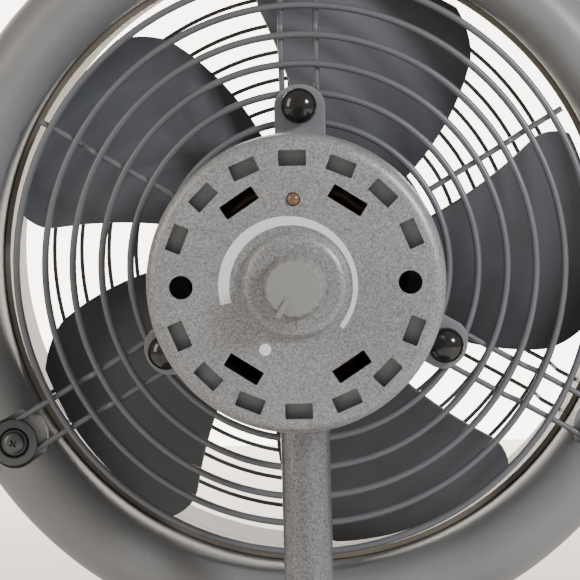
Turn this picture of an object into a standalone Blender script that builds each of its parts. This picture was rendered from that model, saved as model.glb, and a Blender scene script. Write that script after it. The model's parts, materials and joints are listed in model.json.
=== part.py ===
"""Axial air mover: a ducted fan carried by its motor on a tilting post and a round base.

Units are metres and +Z is up. The fan axis runs along Y: the motor and the inlet guard face -Y and the
air leaves towards +Y. The origin lies on the floor under the post's centre line.
"""
import math

import bmesh
import bpy
from mathutils import Matrix, Vector

MM = 0.001
DEG = math.pi / 180.0

# Clearances
SEAT_GAP = 0.3 * MM
RUNNING_GAP = 0.5 * MM
PRESS_GAP = 0.1 * MM
WELD_BITE = 0.4 * MM

# Heights above the floor
FOOT_HEIGHT = 8.0 * MM
BASE_THICKNESS = 8.0 * MM
PIVOT_HEIGHT = 118.0 * MM
SHROUD_ABOVE_PIVOT = 36.5 * MM

# Base and lower stand
BASE_RADIUS = 150.0 * MM
FOOT_RADIUS = 13.0 * MM
FOOT_INSET = 18.0 * MM
FOOT_COUNT = 4
FOOT_EDGE = 1.5 * MM
FLANGE_RADIUS = 34.0 * MM
FLANGE_THICKNESS = 6.0 * MM
FLANGE_SCREW_CIRCLE = 27.0 * MM
FLANGE_SCREW_COUNT = 3
SOCKET_WALL = 5.0 * MM
SOCKET_HEIGHT = 26.0 * MM
GLAND_RADIUS = 7.0 * MM
GLAND_BORE = 3.6 * MM
GLAND_LENGTH = 15.0 * MM
GLAND_EDGE = 1.5 * MM

# Post
POST_RADIUS = 10.2 * MM
POST_WALL = 2.0 * MM
POST_INTO_CAN = 2.5 * MM

# Tilt joint
TONGUE_THICKNESS = 14.0 * MM
EAR_THICKNESS = 7.0 * MM
KNUCKLE_RADIUS = 16.0 * MM
KNUCKLE_REACH = 24.0 * MM
KNUCKLE_SOCKET_DEPTH = 12.0 * MM
COLLAR_WALL = 3.5 * MM
COLLAR_BITE = 3.0 * MM
FORK_SLOT_MARGIN = 3.0 * MM
BOLT_RADIUS = 4.0 * MM
BOLT_HEAD_RADIUS = 7.0 * MM
BOLT_HEAD_HEIGHT = 5.0 * MM
CLAMP_KNOB_RADIUS = 17.0 * MM
CLAMP_KNOB_HEIGHT = 16.0 * MM
CLAMP_KNOB_LOBES = 6
CLAMP_LOBE_DEPTH = 3.0 * MM
CLAMP_KNOB_EDGE = 2.0 * MM

# Motor, along the fan axis from the post's centre line
FACE_FROM_POST = 56.0 * MM
CAN_RADIUS = 60.5 * MM
DRUM_LENGTH = 20.0 * MM
SHELL_INSET = 3.5 * MM
CAN_WALL = 2.0 * MM
CAN_LENGTH = 80.0 * MM
CAN_EDGE_RADIUS = 5.0 * MM
BELL_THICKNESS = 10.0 * MM
BELL_INSET = 1.6 * MM
BELL_SKIN = 2.0 * MM
BELL_WEB = 3.0 * MM
BELL_HUB_WALL = 6.0 * MM
BELL_SPIGOT = 6.0 * MM
BELL_SPIGOT_WALL = 4.0 * MM
SADDLE_THICKNESS = 4.0 * MM
SADDLE_WIDTH = 34.0 * MM
SADDLE_LENGTH = 40.0 * MM
STATOR_SIDE_GAP = 1.0 * MM
STATOR_BORE = 30.0 * MM
STATOR_LENGTH = 34.0 * MM
STATOR_START = -22.0 * MM
AIR_GAP = 1.0 * MM
WINDING_RADIUS = 45.0 * MM
WINDING_BORE = 33.0 * MM
WINDING_LENGTH = 10.0 * MM
SHAFT_RADIUS = 5.0 * MM
SHAFT_OVERHANG = 1.0 * MM
SHAFT_TAIL = 2.0 * MM
BEARING_RADIUS = 13.0 * MM
BEARING_WIDTH = 8.0 * MM
BRACKET_ARM_WIDTH = 9.0 * MM
BRACKET_THICKNESS = 4.0 * MM
BRACKET_RIM_WIDTH = 13.0 * MM
BRACKET_BEHIND_BOARD = 2.0 * MM
BRACKET_BOSS_WALL = 4.0 * MM
BRACKET_ANGLES = (65.0, 115.0)

# Motor face: vents, boss, speed control, lamp
VENT_COUNT = 16
VENT_FROM_EDGE = 9.4 * MM
VENT_LENGTH = 11.2 * MM
VENT_WIDTH = 6.4 * MM
SIDE_HOLE_FROM_EDGE = 14.3 * MM
SIDE_HOLE_RADIUS = 4.8 * MM
SIDE_HOLE_MARGIN = 1.5 * MM
INNER_VENT_FROM_EDGE = 20.5 * MM
INNER_VENT_ANGLE = 33.0
INNER_VENT_LENGTH = 15.6 * MM
INNER_VENT_WIDTH = 6.0 * MM
BOSS_RADIUS = 21.7 * MM
BOSS_HEIGHT = 5.0 * MM
BOSS_EDGE = 3.0 * MM
LAMP_HEIGHT = 34.5 * MM
LAMP_RADIUS = 2.5 * MM
LAMP_DOME = 2.0 * MM
KNOB_RADIUS = 13.1 * MM
KNOB_SKIRT = 11.8 * MM
KNOB_HEIGHT = 13.0 * MM
KNOB_FLUTES = 18
FLUTE_DEPTH = 0.5 * MM
POINTER_WIDTH = 2.2 * MM
POINTER_RISE = 1.2 * MM
POINTER_OFF_ANGLE = 211.0
SPINDLE_RADIUS = 3.0 * MM
BOARD_RADIUS = 24.0 * MM
BOARD_THICKNESS = 1.6 * MM
BOARD_BEHIND_FACE = 4.0 * MM
POT_RADIUS = 9.0 * MM
POT_DEPTH = 7.0 * MM

# Mounting plate with three lugs
LUG_COUNT = 3
PLATE_INSET = 6.5 * MM
PLATE_THICKNESS = 2.5 * MM
LUG_WIDTH = 21.4 * MM
LUG_OUTSIDE_CAN = 7.7 * MM
LUG_END = 9.0 * MM
DOME_RADIUS = 7.6 * MM
DOME_HEIGHT = 10.0 * MM
STUD_RADIUS = 2.5 * MM
STUD_TAIL = 1.0 * MM
NUT_RADIUS = 4.6 * MM
NUT_HEIGHT = 4.0 * MM

# Guards
RING_WIRE = 1.5 * MM
ROD_WIRE = 1.25 * MM
INLET_FIRST_RING_GAP = 0.8 * MM
INLET_EDGE_GAP = 6.0 * MM
INLET_RING_COUNT = 6
INLET_FLAT_RINGS = 4
INLET_DISH = 6.0 * MM
OUTLET_WIRE = 0.9 * MM
OUTLET_EDGE_GAP = 15.2 * MM
OUTLET_RING_COUNT = 5
OUTLET_DISH = 14.5 * MM
OUTLET_JOGGLE_RUN = 4.0 * MM
OUTLET_DISC_RADIUS = 54.0 * MM
OUTLET_DISC_THICKNESS = 2.0 * MM
OUTLET_DISC_GAP = 11.2 * MM
HAIRPIN_HALF_WIDTH = 7.4 * MM
ROD_TAIL = 5.0 * MM
BEND_GAP = 2.5 * MM
INLET_SCREW_OUTSIDE_DUCT = 17.0 * MM
WASHER_RADIUS = 10.0 * MM
WASHER_THICKNESS = 2.0 * MM
SCREW_HEAD_RADIUS = 4.2 * MM
SCREW_HEAD_HEIGHT = 3.0 * MM
SCREW_RADIUS = 2.0 * MM
SCREW_LENGTH = 9.0 * MM
SCREW_END_GAP = 2.0 * MM
CHANNEL_MARGIN = 2.0 * MM
CHANNEL_OVERRUN = 4.0 * MM

# Shroud and duct
DUCT_RADIUS = 128.5 * MM
DUCT_WALL = 2.5 * MM
LIP_WIDTH = 35.0 * MM
LIP_DEPTH = 22.0 * MM
LIP_SKIRT = 6.0 * MM
DUCT_BEHIND_LIP = 7.0 * MM
SHROUD_WALL = 3.0 * MM
COLLAR_LENGTH = 12.0 * MM
PAD_RADIUS = 14.0 * MM
PAD_FLOOR = 2.0 * MM
WASHER_MARGIN = 1.0 * MM
DUCT_LENGTH = 26.0 * MM
OUTLET_FLANGE = 21.0 * MM
OUTLET_FLANGE_THICKNESS = 4.0 * MM
SLEEVE_LENGTH = 44.8 * MM
SLEEVE_FLANGE_THICKNESS = 5.0 * MM
SLEEVE_CHANNEL_MARGIN = 0.6 * MM
LOOP_EDGE_GAP = 1.0 * MM

# Fan wheel
BLADE_COUNT = 5
BLADE_TIP_GAP = 3.5 * MM
HUB_RADIUS = 42.0 * MM
HUB_LENGTH = 34.0 * MM
HUB_WALL = 3.0 * MM
HUB_EDGE = 4.0 * MM
HUB_BOSS_WALL = 6.0 * MM
BLADE_THICKNESS = 2.2 * MM
BLADE_AXIAL = 36.0 * MM
BLADE_TWIST = 0.15
BLADE_CAMBER = 4.0 * MM
WHEEL_FROM_PLATE = 27.0 * MM
BLADE_ROOT_SPAN = (2.0, 53.0)
BLADE_TIP_SPAN = (-11.5, 37.0)
BLADE_TIP_TRIM = 5.0
WHEEL_NUT_RIM = 4.0 * MM

# Facets
ROUND_LARGE = 36
ROUND_MEDIUM = 24
ROUND_SMALL = 12
GUARD_SEGMENTS = 30

# Derived radii round the fan axis
SHELL_RADIUS = CAN_RADIUS - SHELL_INSET
STATOR_RADIUS = SHELL_RADIUS - CAN_WALL - STATOR_SIDE_GAP
VENT_CIRCLE = CAN_RADIUS - VENT_FROM_EDGE
SIDE_HOLE_CIRCLE = CAN_RADIUS - SIDE_HOLE_FROM_EDGE
INNER_VENT_CIRCLE = CAN_RADIUS - INNER_VENT_FROM_EDGE
PLATE_RADIUS = CAN_RADIUS - PLATE_INSET
LUG_CIRCLE = CAN_RADIUS + LUG_OUTSIDE_CAN
LIP_RADIUS = DUCT_RADIUS + LIP_WIDTH
THROAT_RADIUS = DUCT_RADIUS + DUCT_WALL + SEAT_GAP
INLET_FIRST_RING = CAN_RADIUS + INLET_FIRST_RING_GAP
INLET_LAST_RING = DUCT_RADIUS - INLET_EDGE_GAP
INLET_SCREW_CIRCLE = DUCT_RADIUS + INLET_SCREW_OUTSIDE_DUCT
OUTLET_FIRST_RING = OUTLET_DISC_RADIUS + OUTLET_DISC_GAP
OUTLET_LAST_RING = DUCT_RADIUS - OUTLET_EDGE_GAP
TIP_RADIUS = DUCT_RADIUS - BLADE_TIP_GAP
ROTOR_RADIUS = STATOR_BORE - AIR_GAP

# Derived positions along Y and Z
PIVOT_Z = PIVOT_HEIGHT
AXIS_Z = PIVOT_Z + SHROUD_ABOVE_PIVOT + LIP_RADIUS
BASE_TOP = FOOT_HEIGHT + BASE_THICKNESS
FACE_Y = -FACE_FROM_POST
CAN_BACK_Y = FACE_Y + CAN_LENGTH
BELL_Y = CAN_BACK_Y + SEAT_GAP
BELL_BACK_Y = BELL_Y + BELL_THICKNESS
PLATE_Y = BELL_BACK_Y + SEAT_GAP
PLATE_BACK_Y = PLATE_Y + PLATE_THICKNESS
RING_Y = PLATE_BACK_Y + SEAT_GAP + RING_WIRE
ROD_OFFSET = RING_WIRE + ROD_WIRE - WELD_BITE
DEEP_ROD_Y = RING_Y + INLET_DISH + ROD_OFFSET
PAD_Y = DEEP_ROD_Y + ROD_WIRE + SEAT_GAP
WASHER_Y = DEEP_ROD_Y - ROD_WIRE - SEAT_GAP
CREST_Y = WASHER_Y - WASHER_THICKNESS
LIP_MID_RADIUS = (THROAT_RADIUS + LIP_RADIUS) / 2.0
LIP_BACK_Y = CREST_Y + LIP_DEPTH + LIP_SKIRT
COLLAR_END_Y = LIP_BACK_Y + COLLAR_LENGTH
DUCT_Y = LIP_BACK_Y + DUCT_BEHIND_LIP
DUCT_END_Y = DUCT_Y + DUCT_LENGTH
SLEEVE_Y = DUCT_END_Y + SEAT_GAP
OUTLET_ROD_OFFSET = 2.0 * OUTLET_WIRE - WELD_BITE
OUTLET_ROD_Y = SLEEVE_Y + OUTLET_WIRE
OUTLET_RING_Y = OUTLET_ROD_Y + OUTLET_DISH + OUTLET_ROD_OFFSET
OUTLET_FLANGE_RADIUS = DUCT_RADIUS + DUCT_WALL + OUTLET_FLANGE
OUTLET_SCREW_CIRCLE = OUTLET_FLANGE_RADIUS - HAIRPIN_HALF_WIDTH - OUTLET_WIRE - LOOP_EDGE_GAP
WHEEL_Y = PLATE_BACK_Y + WHEEL_FROM_PLATE
BOSS_FACE_Y = FACE_Y - BOSS_HEIGHT
BOARD_Y = FACE_Y + CAN_WALL + BOARD_BEHIND_FACE
POT_Y = BOARD_Y - POT_DEPTH - SEAT_GAP
BRACKET_Y = BOARD_Y + BOARD_THICKNESS + BRACKET_BEHIND_BOARD
SHAFT_START_Y = BRACKET_Y - SHAFT_OVERHANG


def clear_scene():
    """Remove every object that the scene starts with."""
    for item in list(bpy.data.objects):
        bpy.data.objects.remove(item, do_unlink=True)


def make_material(name, colour, roughness, metallic):
    """Return a Principled material."""
    material = bpy.data.materials.new(name)
    material.use_nodes = True
    shader = material.node_tree.nodes["Principled BSDF"]
    shader.inputs["Base Color"].default_value = (*colour, 1.0)
    shader.inputs["Roughness"].default_value = roughness
    shader.inputs["Metallic"].default_value = metallic
    return material


def clock(radius, degrees):
    """Return the local x, y of a point, its angle read clockwise from the top, seen from the motor side."""
    angle = degrees * DEG
    return radius * math.sin(angle), -radius * math.cos(angle)


def ring_angles(count):
    """Return evenly spaced clock angles that start at the top."""
    return [360.0 * index / count for index in range(count)]


def lathe(profile, segments):
    """Turn a closed outline of (radius, height) points about local Z."""
    bm = bmesh.new()
    verts = [bm.verts.new((radius, 0.0, height)) for radius, height in profile]
    edges = [bm.edges.new(pair) for pair in zip(verts, verts[1:])]
    if profile[0][0] > 0.0 or profile[-1][0] > 0.0:
        edges.append(bm.edges.new((verts[-1], verts[0])))
    bmesh.ops.spin(
        bm, geom=verts + edges, cent=(0.0, 0.0, 0.0), axis=(0.0, 0.0, 1.0),
        angle=2.0 * math.pi, steps=segments, use_merge=True,
    )
    bmesh.ops.remove_doubles(bm, verts=bm.verts, dist=1e-6)
    bmesh.ops.recalc_face_normals(bm, faces=bm.faces)
    return bm


def arc(centre, radii, start, end, steps):
    """Return (radius, height) points on an elliptic arc, angles in degrees from the radial direction."""
    points = []
    for index in range(steps + 1):
        angle = (start + (end - start) * index / steps) * DEG
        points.append((centre[0] + radii[0] * math.cos(angle), centre[1] + radii[1] * math.sin(angle)))
    return points


def disc(radius, height, segments, bore=0.0, base=0.0):
    """Turn a plain disc, or a ring if it has a bore."""
    return lathe([(bore, base), (radius, base), (radius, base + height), (bore, base + height)], segments)


def prism(outline, height, base=0.0):
    """Extrude a flat outline of local x, y points along local Z."""
    bm = bmesh.new()
    face = bm.faces.new([bm.verts.new((x, y, base)) for x, y in outline])
    extruded = bmesh.ops.extrude_face_region(bm, geom=[face])
    lifted = [item for item in extruded["geom"] if isinstance(item, bmesh.types.BMVert)]
    bmesh.ops.translate(bm, verts=lifted, vec=(0.0, 0.0, height))
    bmesh.ops.recalc_face_normals(bm, faces=bm.faces)
    return bm


def hexagon_outline(radius):
    """Return the corners of a hexagon."""
    return [(radius * math.cos(a * DEG), radius * math.sin(a * DEG)) for a in range(0, 360, 60)]


def add_box(bm, size, matrix):
    """Add a box of the given size to a mesh."""
    scale = Matrix.Diagonal((*size, 1.0))
    bmesh.ops.create_cube(bm, size=1.0, matrix=matrix @ scale)


def add_rod(bm, radius, start, end, sides, spot=(0.0, 0.0)):
    """Add a straight round bar between two heights on a line parallel to local Z."""
    half_step = Matrix.Rotation(math.pi / sides, 4, "Z")
    bmesh.ops.create_cone(
        bm, cap_ends=True, segments=sides, radius1=radius, radius2=radius, depth=end - start,
        matrix=Matrix.Translation((*spot, (start + end) / 2.0)) @ half_step,
    )


def add_wire(bm, points, radius, sides, closed):
    """Sweep a regular section along a path; its flats face along local Z."""
    up = Vector((0.0, 0.0, 1.0))
    count = len(points)
    corner = radius / math.cos(math.pi / sides)
    sections = []
    for index, point in enumerate(points):
        before = points[index - 1] if closed or index else point
        after = points[(index + 1) % count] if closed or index < count - 1 else point
        tangent = ((point - before).normalized() + (after - point).normalized()).normalized()
        side = tangent.cross(up).normalized()
        normal = side.cross(tangent)
        section = []
        for step in range(sides):
            angle = 2.0 * math.pi * (step + 0.5) / sides
            offset = side * math.cos(angle) + normal * math.sin(angle)
            section.append(bm.verts.new(point + offset * corner))
        sections.append(section)
    spans = count if closed else count - 1
    for index in range(spans):
        near = sections[index]
        far = sections[(index + 1) % count]
        for step in range(sides):
            follow = (step + 1) % sides
            bm.faces.new((near[step], near[follow], far[follow], far[step]))
    if not closed:
        bm.faces.new(list(reversed(sections[0])))
        bm.faces.new(sections[-1])


def make_object(name, bm, material, location=(0.0, 0.0, 0.0), axis="Z", turn=0.0, parent=None, crease=35.0):
    """Turn a mesh into a named object whose local Z lies along a world axis."""
    bmesh.ops.recalc_face_normals(bm, faces=bm.faces)
    mesh = bpy.data.meshes.new(name)
    bm.to_mesh(mesh)
    bm.free()
    mesh.materials.append(material)
    mesh.shade_smooth()
    mesh.set_sharp_from_angle(angle=crease * DEG)
    item = bpy.data.objects.new(name, mesh)
    bpy.context.scene.collection.objects.link(item)
    place(item, location, axis, turn, parent)
    return item


def place(item, location, axis, turn, parent):
    """Set where an object stands, and keep its world place when it gets a parent."""
    turns = {"Z": (0.0, 0.0), "Y": (-90.0, 0.0), "X": (0.0, 90.0)}
    tilt_x, tilt_y = turns[axis]
    rotation = Matrix.Rotation(tilt_y * DEG, 4, "Y") @ Matrix.Rotation(tilt_x * DEG, 4, "X")
    rotation = rotation @ Matrix.Rotation(turn * DEG, 4, "Z")
    item.rotation_euler = rotation.to_euler()
    item.location = location
    if parent is not None:
        item.parent = parent
        item.matrix_parent_inverse = Matrix.Translation(-parent.location)


def make_pivot(name, location, parent=None):
    """Add an empty that carries a moving group."""
    pivot = bpy.data.objects.new(name, None)
    bpy.context.scene.collection.objects.link(pivot)
    pivot.location = location
    if parent is not None:
        pivot.parent = parent
        pivot.matrix_parent_inverse = Matrix.Translation(-parent.location)
    return pivot


def tool_object(name, bm, location, axis, parent, turn=0.0):
    """Add a hidden operand for a Boolean modifier."""
    item = make_object(name, bm, MATERIALS["steel"], location, axis, turn, parent)
    item.hide_render = True
    item.display_type = "WIRE"
    return item


def combine(target, tool, operation):
    """Cut a tool from a piece, or join it to the piece."""
    modifier = target.modifiers.new(tool.name, "BOOLEAN")
    modifier.operation = operation
    modifier.solver = "EXACT"
    modifier.object = tool
    return target


def fan_axis_point(y):
    """Return the world point on the fan axis at one y."""
    return (0.0, y, AXIS_Z)


def lug_point(radius, degrees, y):
    """Return the world point at a clock angle round the fan axis."""
    local_x, local_y = clock(radius, degrees)
    return (local_x, y, AXIS_Z - local_y)


# ---------------------------------------------------------------- stand

def make_base_plate():
    """Round steel plate with a rounded rim and holes for the flange screws and the post."""
    edge = BASE_THICKNESS * 0.5
    profile = [(0.0, 0.0), (BASE_RADIUS - edge * 0.5, 0.0), (BASE_RADIUS, edge * 0.5)]
    profile += arc((BASE_RADIUS - edge, BASE_THICKNESS - edge), (edge, edge), 0.0, 90.0, 3)
    profile += [(0.0, BASE_THICKNESS)]
    location = (0.0, 0.0, FOOT_HEIGHT)
    plate = make_object("base_plate", lathe(profile, ROUND_LARGE), MATERIALS["grey_coat"], location)
    holes = bmesh.new()
    for degrees in ring_angles(FLANGE_SCREW_COUNT):
        spot = clock(FLANGE_SCREW_CIRCLE, degrees)
        add_rod(holes, SCREW_RADIUS + SEAT_GAP, -BASE_THICKNESS, BASE_THICKNESS * 2.0, ROUND_SMALL, spot)
    cutter = tool_object("base_holes", holes, location, "Z", None)
    return combine(plate, cutter, "DIFFERENCE")


def make_feet():
    """Rubber pads under the rim of the base."""
    profile = [(0.0, 0.0), (FOOT_RADIUS - FOOT_EDGE, 0.0), (FOOT_RADIUS, FOOT_EDGE)]
    profile += [(FOOT_RADIUS, FOOT_HEIGHT - SEAT_GAP), (0.0, FOOT_HEIGHT - SEAT_GAP)]
    for index, degrees in enumerate(ring_angles(FOOT_COUNT)):
        x, y = clock(BASE_RADIUS - FOOT_INSET, degrees + 45.0)
        make_object(f"foot_{index + 1}", lathe(profile, ROUND_SMALL), MATERIALS["rubber"], (x, y, 0.0))


def make_base_flange():
    """Flanged socket that holds the lower post, bored for the cable gland."""
    socket = POST_RADIUS + SEAT_GAP
    outer = socket + SOCKET_WALL
    top = FLANGE_THICKNESS + SOCKET_HEIGHT
    profile = [(socket, 0.0), (FLANGE_RADIUS, 0.0), (FLANGE_RADIUS, FLANGE_THICKNESS)]
    profile += [(outer, FLANGE_THICKNESS), (outer, top), (socket, top)]
    location = (0.0, 0.0, BASE_TOP + SEAT_GAP)
    flange = make_object("base_flange", lathe(profile, ROUND_MEDIUM), MATERIALS["grey_coat"], location)
    holes = bmesh.new()
    for degrees in ring_angles(FLANGE_SCREW_COUNT):
        spot = clock(FLANGE_SCREW_CIRCLE, degrees)
        add_rod(holes, SCREW_RADIUS + SEAT_GAP, -FLANGE_THICKNESS, FLANGE_THICKNESS * 2.0, ROUND_SMALL, spot)
    combine(flange, tool_object("flange_holes", holes, location, "Z", None), "DIFFERENCE")
    return combine(flange, gland_bore_tool("flange_gland_hole"), "DIFFERENCE")


def gland_bore_tool(name):
    """Return a bar from the post's centre line out through the gland."""
    bm = bmesh.new()
    add_rod(bm, GLAND_BORE + SEAT_GAP, -FLANGE_RADIUS, 0.0, ROUND_SMALL)
    return tool_object(name, bm, (0.0, 0.0, gland_height()), "Y", None)


def gland_height():
    """Return how high the cable gland's axis stands."""
    return BASE_TOP + SEAT_GAP + FLANGE_THICKNESS + SOCKET_HEIGHT * 0.5


def make_cable_gland():
    """Threaded gland whose bore leads the supply cord into the post."""
    outer = POST_RADIUS + SEAT_GAP + SOCKET_WALL + SEAT_GAP
    grip = GLAND_LENGTH * 0.6
    profile = [(GLAND_BORE, 0.0), (GLAND_RADIUS, 0.0), (GLAND_RADIUS, grip)]
    profile += [(GLAND_RADIUS - GLAND_EDGE, GLAND_LENGTH), (GLAND_BORE, GLAND_LENGTH)]
    location = (0.0, -outer - GLAND_LENGTH, gland_height())
    flipped = [(radius, GLAND_LENGTH - height) for radius, height in profile]
    make_object("cable_gland", lathe(flipped, ROUND_SMALL), MATERIALS["black_plastic"], location, "Y")


def make_flange_screws():
    """Screws that hold the flange to the base plate."""
    depth = FLANGE_THICKNESS + BASE_THICKNESS - SCREW_END_GAP
    head = BASE_TOP + SEAT_GAP + FLANGE_THICKNESS + SEAT_GAP
    for index, degrees in enumerate(ring_angles(FLANGE_SCREW_COUNT)):
        x, y = clock(FLANGE_SCREW_CIRCLE, degrees)
        make_object(
            f"flange_screw_{index + 1}", screw_mesh(depth), MATERIALS["dark_steel"], (x, y, head), "Z",
        )


def screw_mesh(depth):
    """Pan-head screw with its head above local zero and its shank below."""
    profile = [(0.0, -depth), (SCREW_RADIUS, -depth), (SCREW_RADIUS, 0.0), (SCREW_HEAD_RADIUS, 0.0)]
    rim = SCREW_HEAD_RADIUS
    crown = SCREW_HEAD_HEIGHT
    profile += [(rim, crown * 0.4), (rim * 0.75, crown * 0.85), (rim * 0.35, crown), (0.0, crown)]
    return lathe(profile, ROUND_SMALL)


def make_lower_post():
    """Short tube between the flange and the fork, pierced where the cord comes in."""
    bottom = BASE_TOP + SEAT_GAP
    top = PIVOT_Z - KNUCKLE_REACH - SEAT_GAP
    tube = make_object(
        "lower_post", disc(POST_RADIUS, top - bottom, ROUND_MEDIUM, POST_RADIUS - POST_WALL),
        MATERIALS["post_coat"], (0.0, 0.0, bottom),
    )
    return combine(tube, gland_bore_tool("post_gland_hole"), "DIFFERENCE")


def knuckle_outline(reach):
    """Return the side outline of a knuckle: a round eye with a straight root below it."""
    points = [(-KNUCKLE_RADIUS, -reach), (KNUCKLE_RADIUS, -reach)]
    for index in range(13):
        angle = 180.0 * index / 12.0 * DEG
        points.append((KNUCKLE_RADIUS * math.cos(angle), KNUCKLE_RADIUS * math.sin(angle)))
    return points


def knuckle_blade(thickness, reach, rise):
    """Return a plate of the knuckle's outline, standing across X, its eye at local zero."""
    bm = prism(knuckle_outline(reach), thickness, -thickness / 2.0)
    across_x = Matrix(((0.0, 0.0, 1.0), (1.0, 0.0, 0.0), (0.0, rise, 0.0))).to_4x4()
    bm.transform(across_x)
    bmesh.ops.recalc_face_normals(bm, faces=bm.faces)
    return bm


def fork_half_width():
    """Return half of the fork's width across its ears."""
    return TONGUE_THICKNESS / 2.0 + RUNNING_GAP + EAR_THICKNESS


def pivot_bore_tool(name, parent, radius):
    """Return a bar along the tilt axis that bores the pivot hole."""
    bm = bmesh.new()
    add_rod(bm, radius, -fork_half_width() * 2.0, fork_half_width() * 2.0, ROUND_SMALL)
    return tool_object(name, bm, (0.0, 0.0, PIVOT_Z), "X", parent)


def make_fork():
    """Lower half of the tilt joint: two ears on a root that caps the lower post."""
    width = fork_half_width() * 2.0
    location = (0.0, 0.0, PIVOT_Z)
    root = KNUCKLE_REACH + KNUCKLE_SOCKET_DEPTH
    fork = make_object("tilt_fork", knuckle_blade(width, root, 1.0), MATERIALS["dark_coat"], location)
    slot = bmesh.new()
    slot_depth = KNUCKLE_RADIUS + FORK_SLOT_MARGIN
    slot_width = TONGUE_THICKNESS + 2.0 * RUNNING_GAP
    add_box(slot, (slot_width, KNUCKLE_RADIUS * 4.0, slot_depth * 2.0), Matrix())
    combine(fork, tool_object("fork_slot", slot, location, "Z", None), "DIFFERENCE")
    socket = bmesh.new()
    add_rod(socket, POST_RADIUS + SEAT_GAP, -root * 2.0, -KNUCKLE_REACH, ROUND_MEDIUM)
    combine(fork, tool_object("fork_socket", socket, location, "Z", None), "DIFFERENCE")
    return combine(fork, pivot_bore_tool("fork_bore", None, BOLT_RADIUS + SEAT_GAP), "DIFFERENCE")


def make_tongue(parent):
    """Upper half of the tilt joint: an eye between the ears, with a socket for the post."""
    location = (0.0, 0.0, PIVOT_Z)
    tongue = make_object(
        "tilt_tongue", knuckle_blade(TONGUE_THICKNESS, KNUCKLE_REACH, -1.0),
        MATERIALS["dark_coat"], location, parent=parent,
    )
    collar = bmesh.new()
    outer = POST_RADIUS + SEAT_GAP + COLLAR_WALL
    end = KNUCKLE_REACH + KNUCKLE_SOCKET_DEPTH
    add_rod(collar, outer, KNUCKLE_REACH - COLLAR_BITE, end, ROUND_MEDIUM)
    combine(tongue, tool_object("tongue_collar", collar, location, "Z", parent), "UNION")
    socket = bmesh.new()
    add_rod(socket, POST_RADIUS + SEAT_GAP, KNUCKLE_REACH, end * 2.0, ROUND_MEDIUM)
    combine(tongue, tool_object("tongue_socket", socket, location, "Z", parent), "DIFFERENCE")
    return combine(tongue, pivot_bore_tool("tongue_bore", parent, BOLT_RADIUS + SEAT_GAP), "DIFFERENCE")


def make_pivot_bolt():
    """Bolt through the tilt joint: head on the left ear, threaded end inside the clamp knob."""
    ear = fork_half_width() + SEAT_GAP
    end = ear + CLAMP_KNOB_HEIGHT * 0.6
    top = -ear - BOLT_HEAD_HEIGHT
    rim = BOLT_HEAD_RADIUS
    profile = [(0.0, top), (rim * 0.8, top), (rim, top + BOLT_HEAD_HEIGHT * 0.4), (rim, -ear)]
    profile += [(BOLT_RADIUS, -ear), (BOLT_RADIUS, end), (0.0, end)]
    make_object("pivot_bolt", lathe(profile, ROUND_SMALL), MATERIALS["dark_steel"], (0.0, 0.0, PIVOT_Z), "X")


def lobed_outline(radius, depth, lobes, points_per_lobe):
    """Return a round outline whose edge waves in and out."""
    outline = []
    for index in range(lobes * points_per_lobe):
        angle = 2.0 * math.pi * index / (lobes * points_per_lobe)
        edge = radius - depth * (0.5 - 0.5 * math.cos(lobes * angle))
        outline.append((edge * math.cos(angle), edge * math.sin(angle)))
    return outline


def make_clamp_knob():
    """Hand knob that tightens the tilt joint, with a blind hole over the bolt's end."""
    start = fork_half_width() + SEAT_GAP
    location = (0.0, 0.0, PIVOT_Z)
    outline = lobed_outline(CLAMP_KNOB_RADIUS, CLAMP_LOBE_DEPTH, CLAMP_KNOB_LOBES, 6)
    body = prism(outline, CLAMP_KNOB_HEIGHT, start)
    rim = start + CLAMP_KNOB_HEIGHT * 0.9
    top = [edge for edge in body.edges if min(vert.co.z for vert in edge.verts) > rim]
    size = CLAMP_KNOB_EDGE
    bmesh.ops.bevel(body, geom=top, offset=size, segments=1, affect="EDGES", profile=0.5, material=-1)
    pivot = make_pivot("clamp_pivot", Vector(location))
    knob = make_object("clamp_knob", body, MATERIALS["black_plastic"], location, "X", parent=pivot)
    bore = bmesh.new()
    add_rod(bore, BOLT_RADIUS + SEAT_GAP, 0.0, start + CLAMP_KNOB_HEIGHT * 0.6 + SEAT_GAP, ROUND_SMALL)
    return combine(knob, tool_object("clamp_bore", bore, location, "X", pivot), "DIFFERENCE")


# ---------------------------------------------------------------- motor

def make_post(parent):
    """Upper tube from the tilt joint up into the motor can."""
    bottom = PIVOT_Z + KNUCKLE_REACH + SEAT_GAP
    top = AXIS_Z - SHELL_RADIUS + POST_INTO_CAN
    make_object(
        "post_tube", disc(POST_RADIUS, top - bottom, ROUND_MEDIUM, POST_RADIUS - POST_WALL),
        MATERIALS["post_coat"], (0.0, 0.0, bottom), parent=parent,
    )


def post_hole_tool(name, parent):
    """Return a bar along the post that bores its hole in the saddle or the can."""
    bm = bmesh.new()
    low = AXIS_Z - CAN_RADIUS * 1.5
    high = AXIS_Z - STATOR_RADIUS * 0.5
    add_rod(bm, POST_RADIUS + SEAT_GAP, low, high, ROUND_MEDIUM)
    return tool_object(name, bm, (0.0, 0.0, 0.0), "Z", parent)


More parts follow.
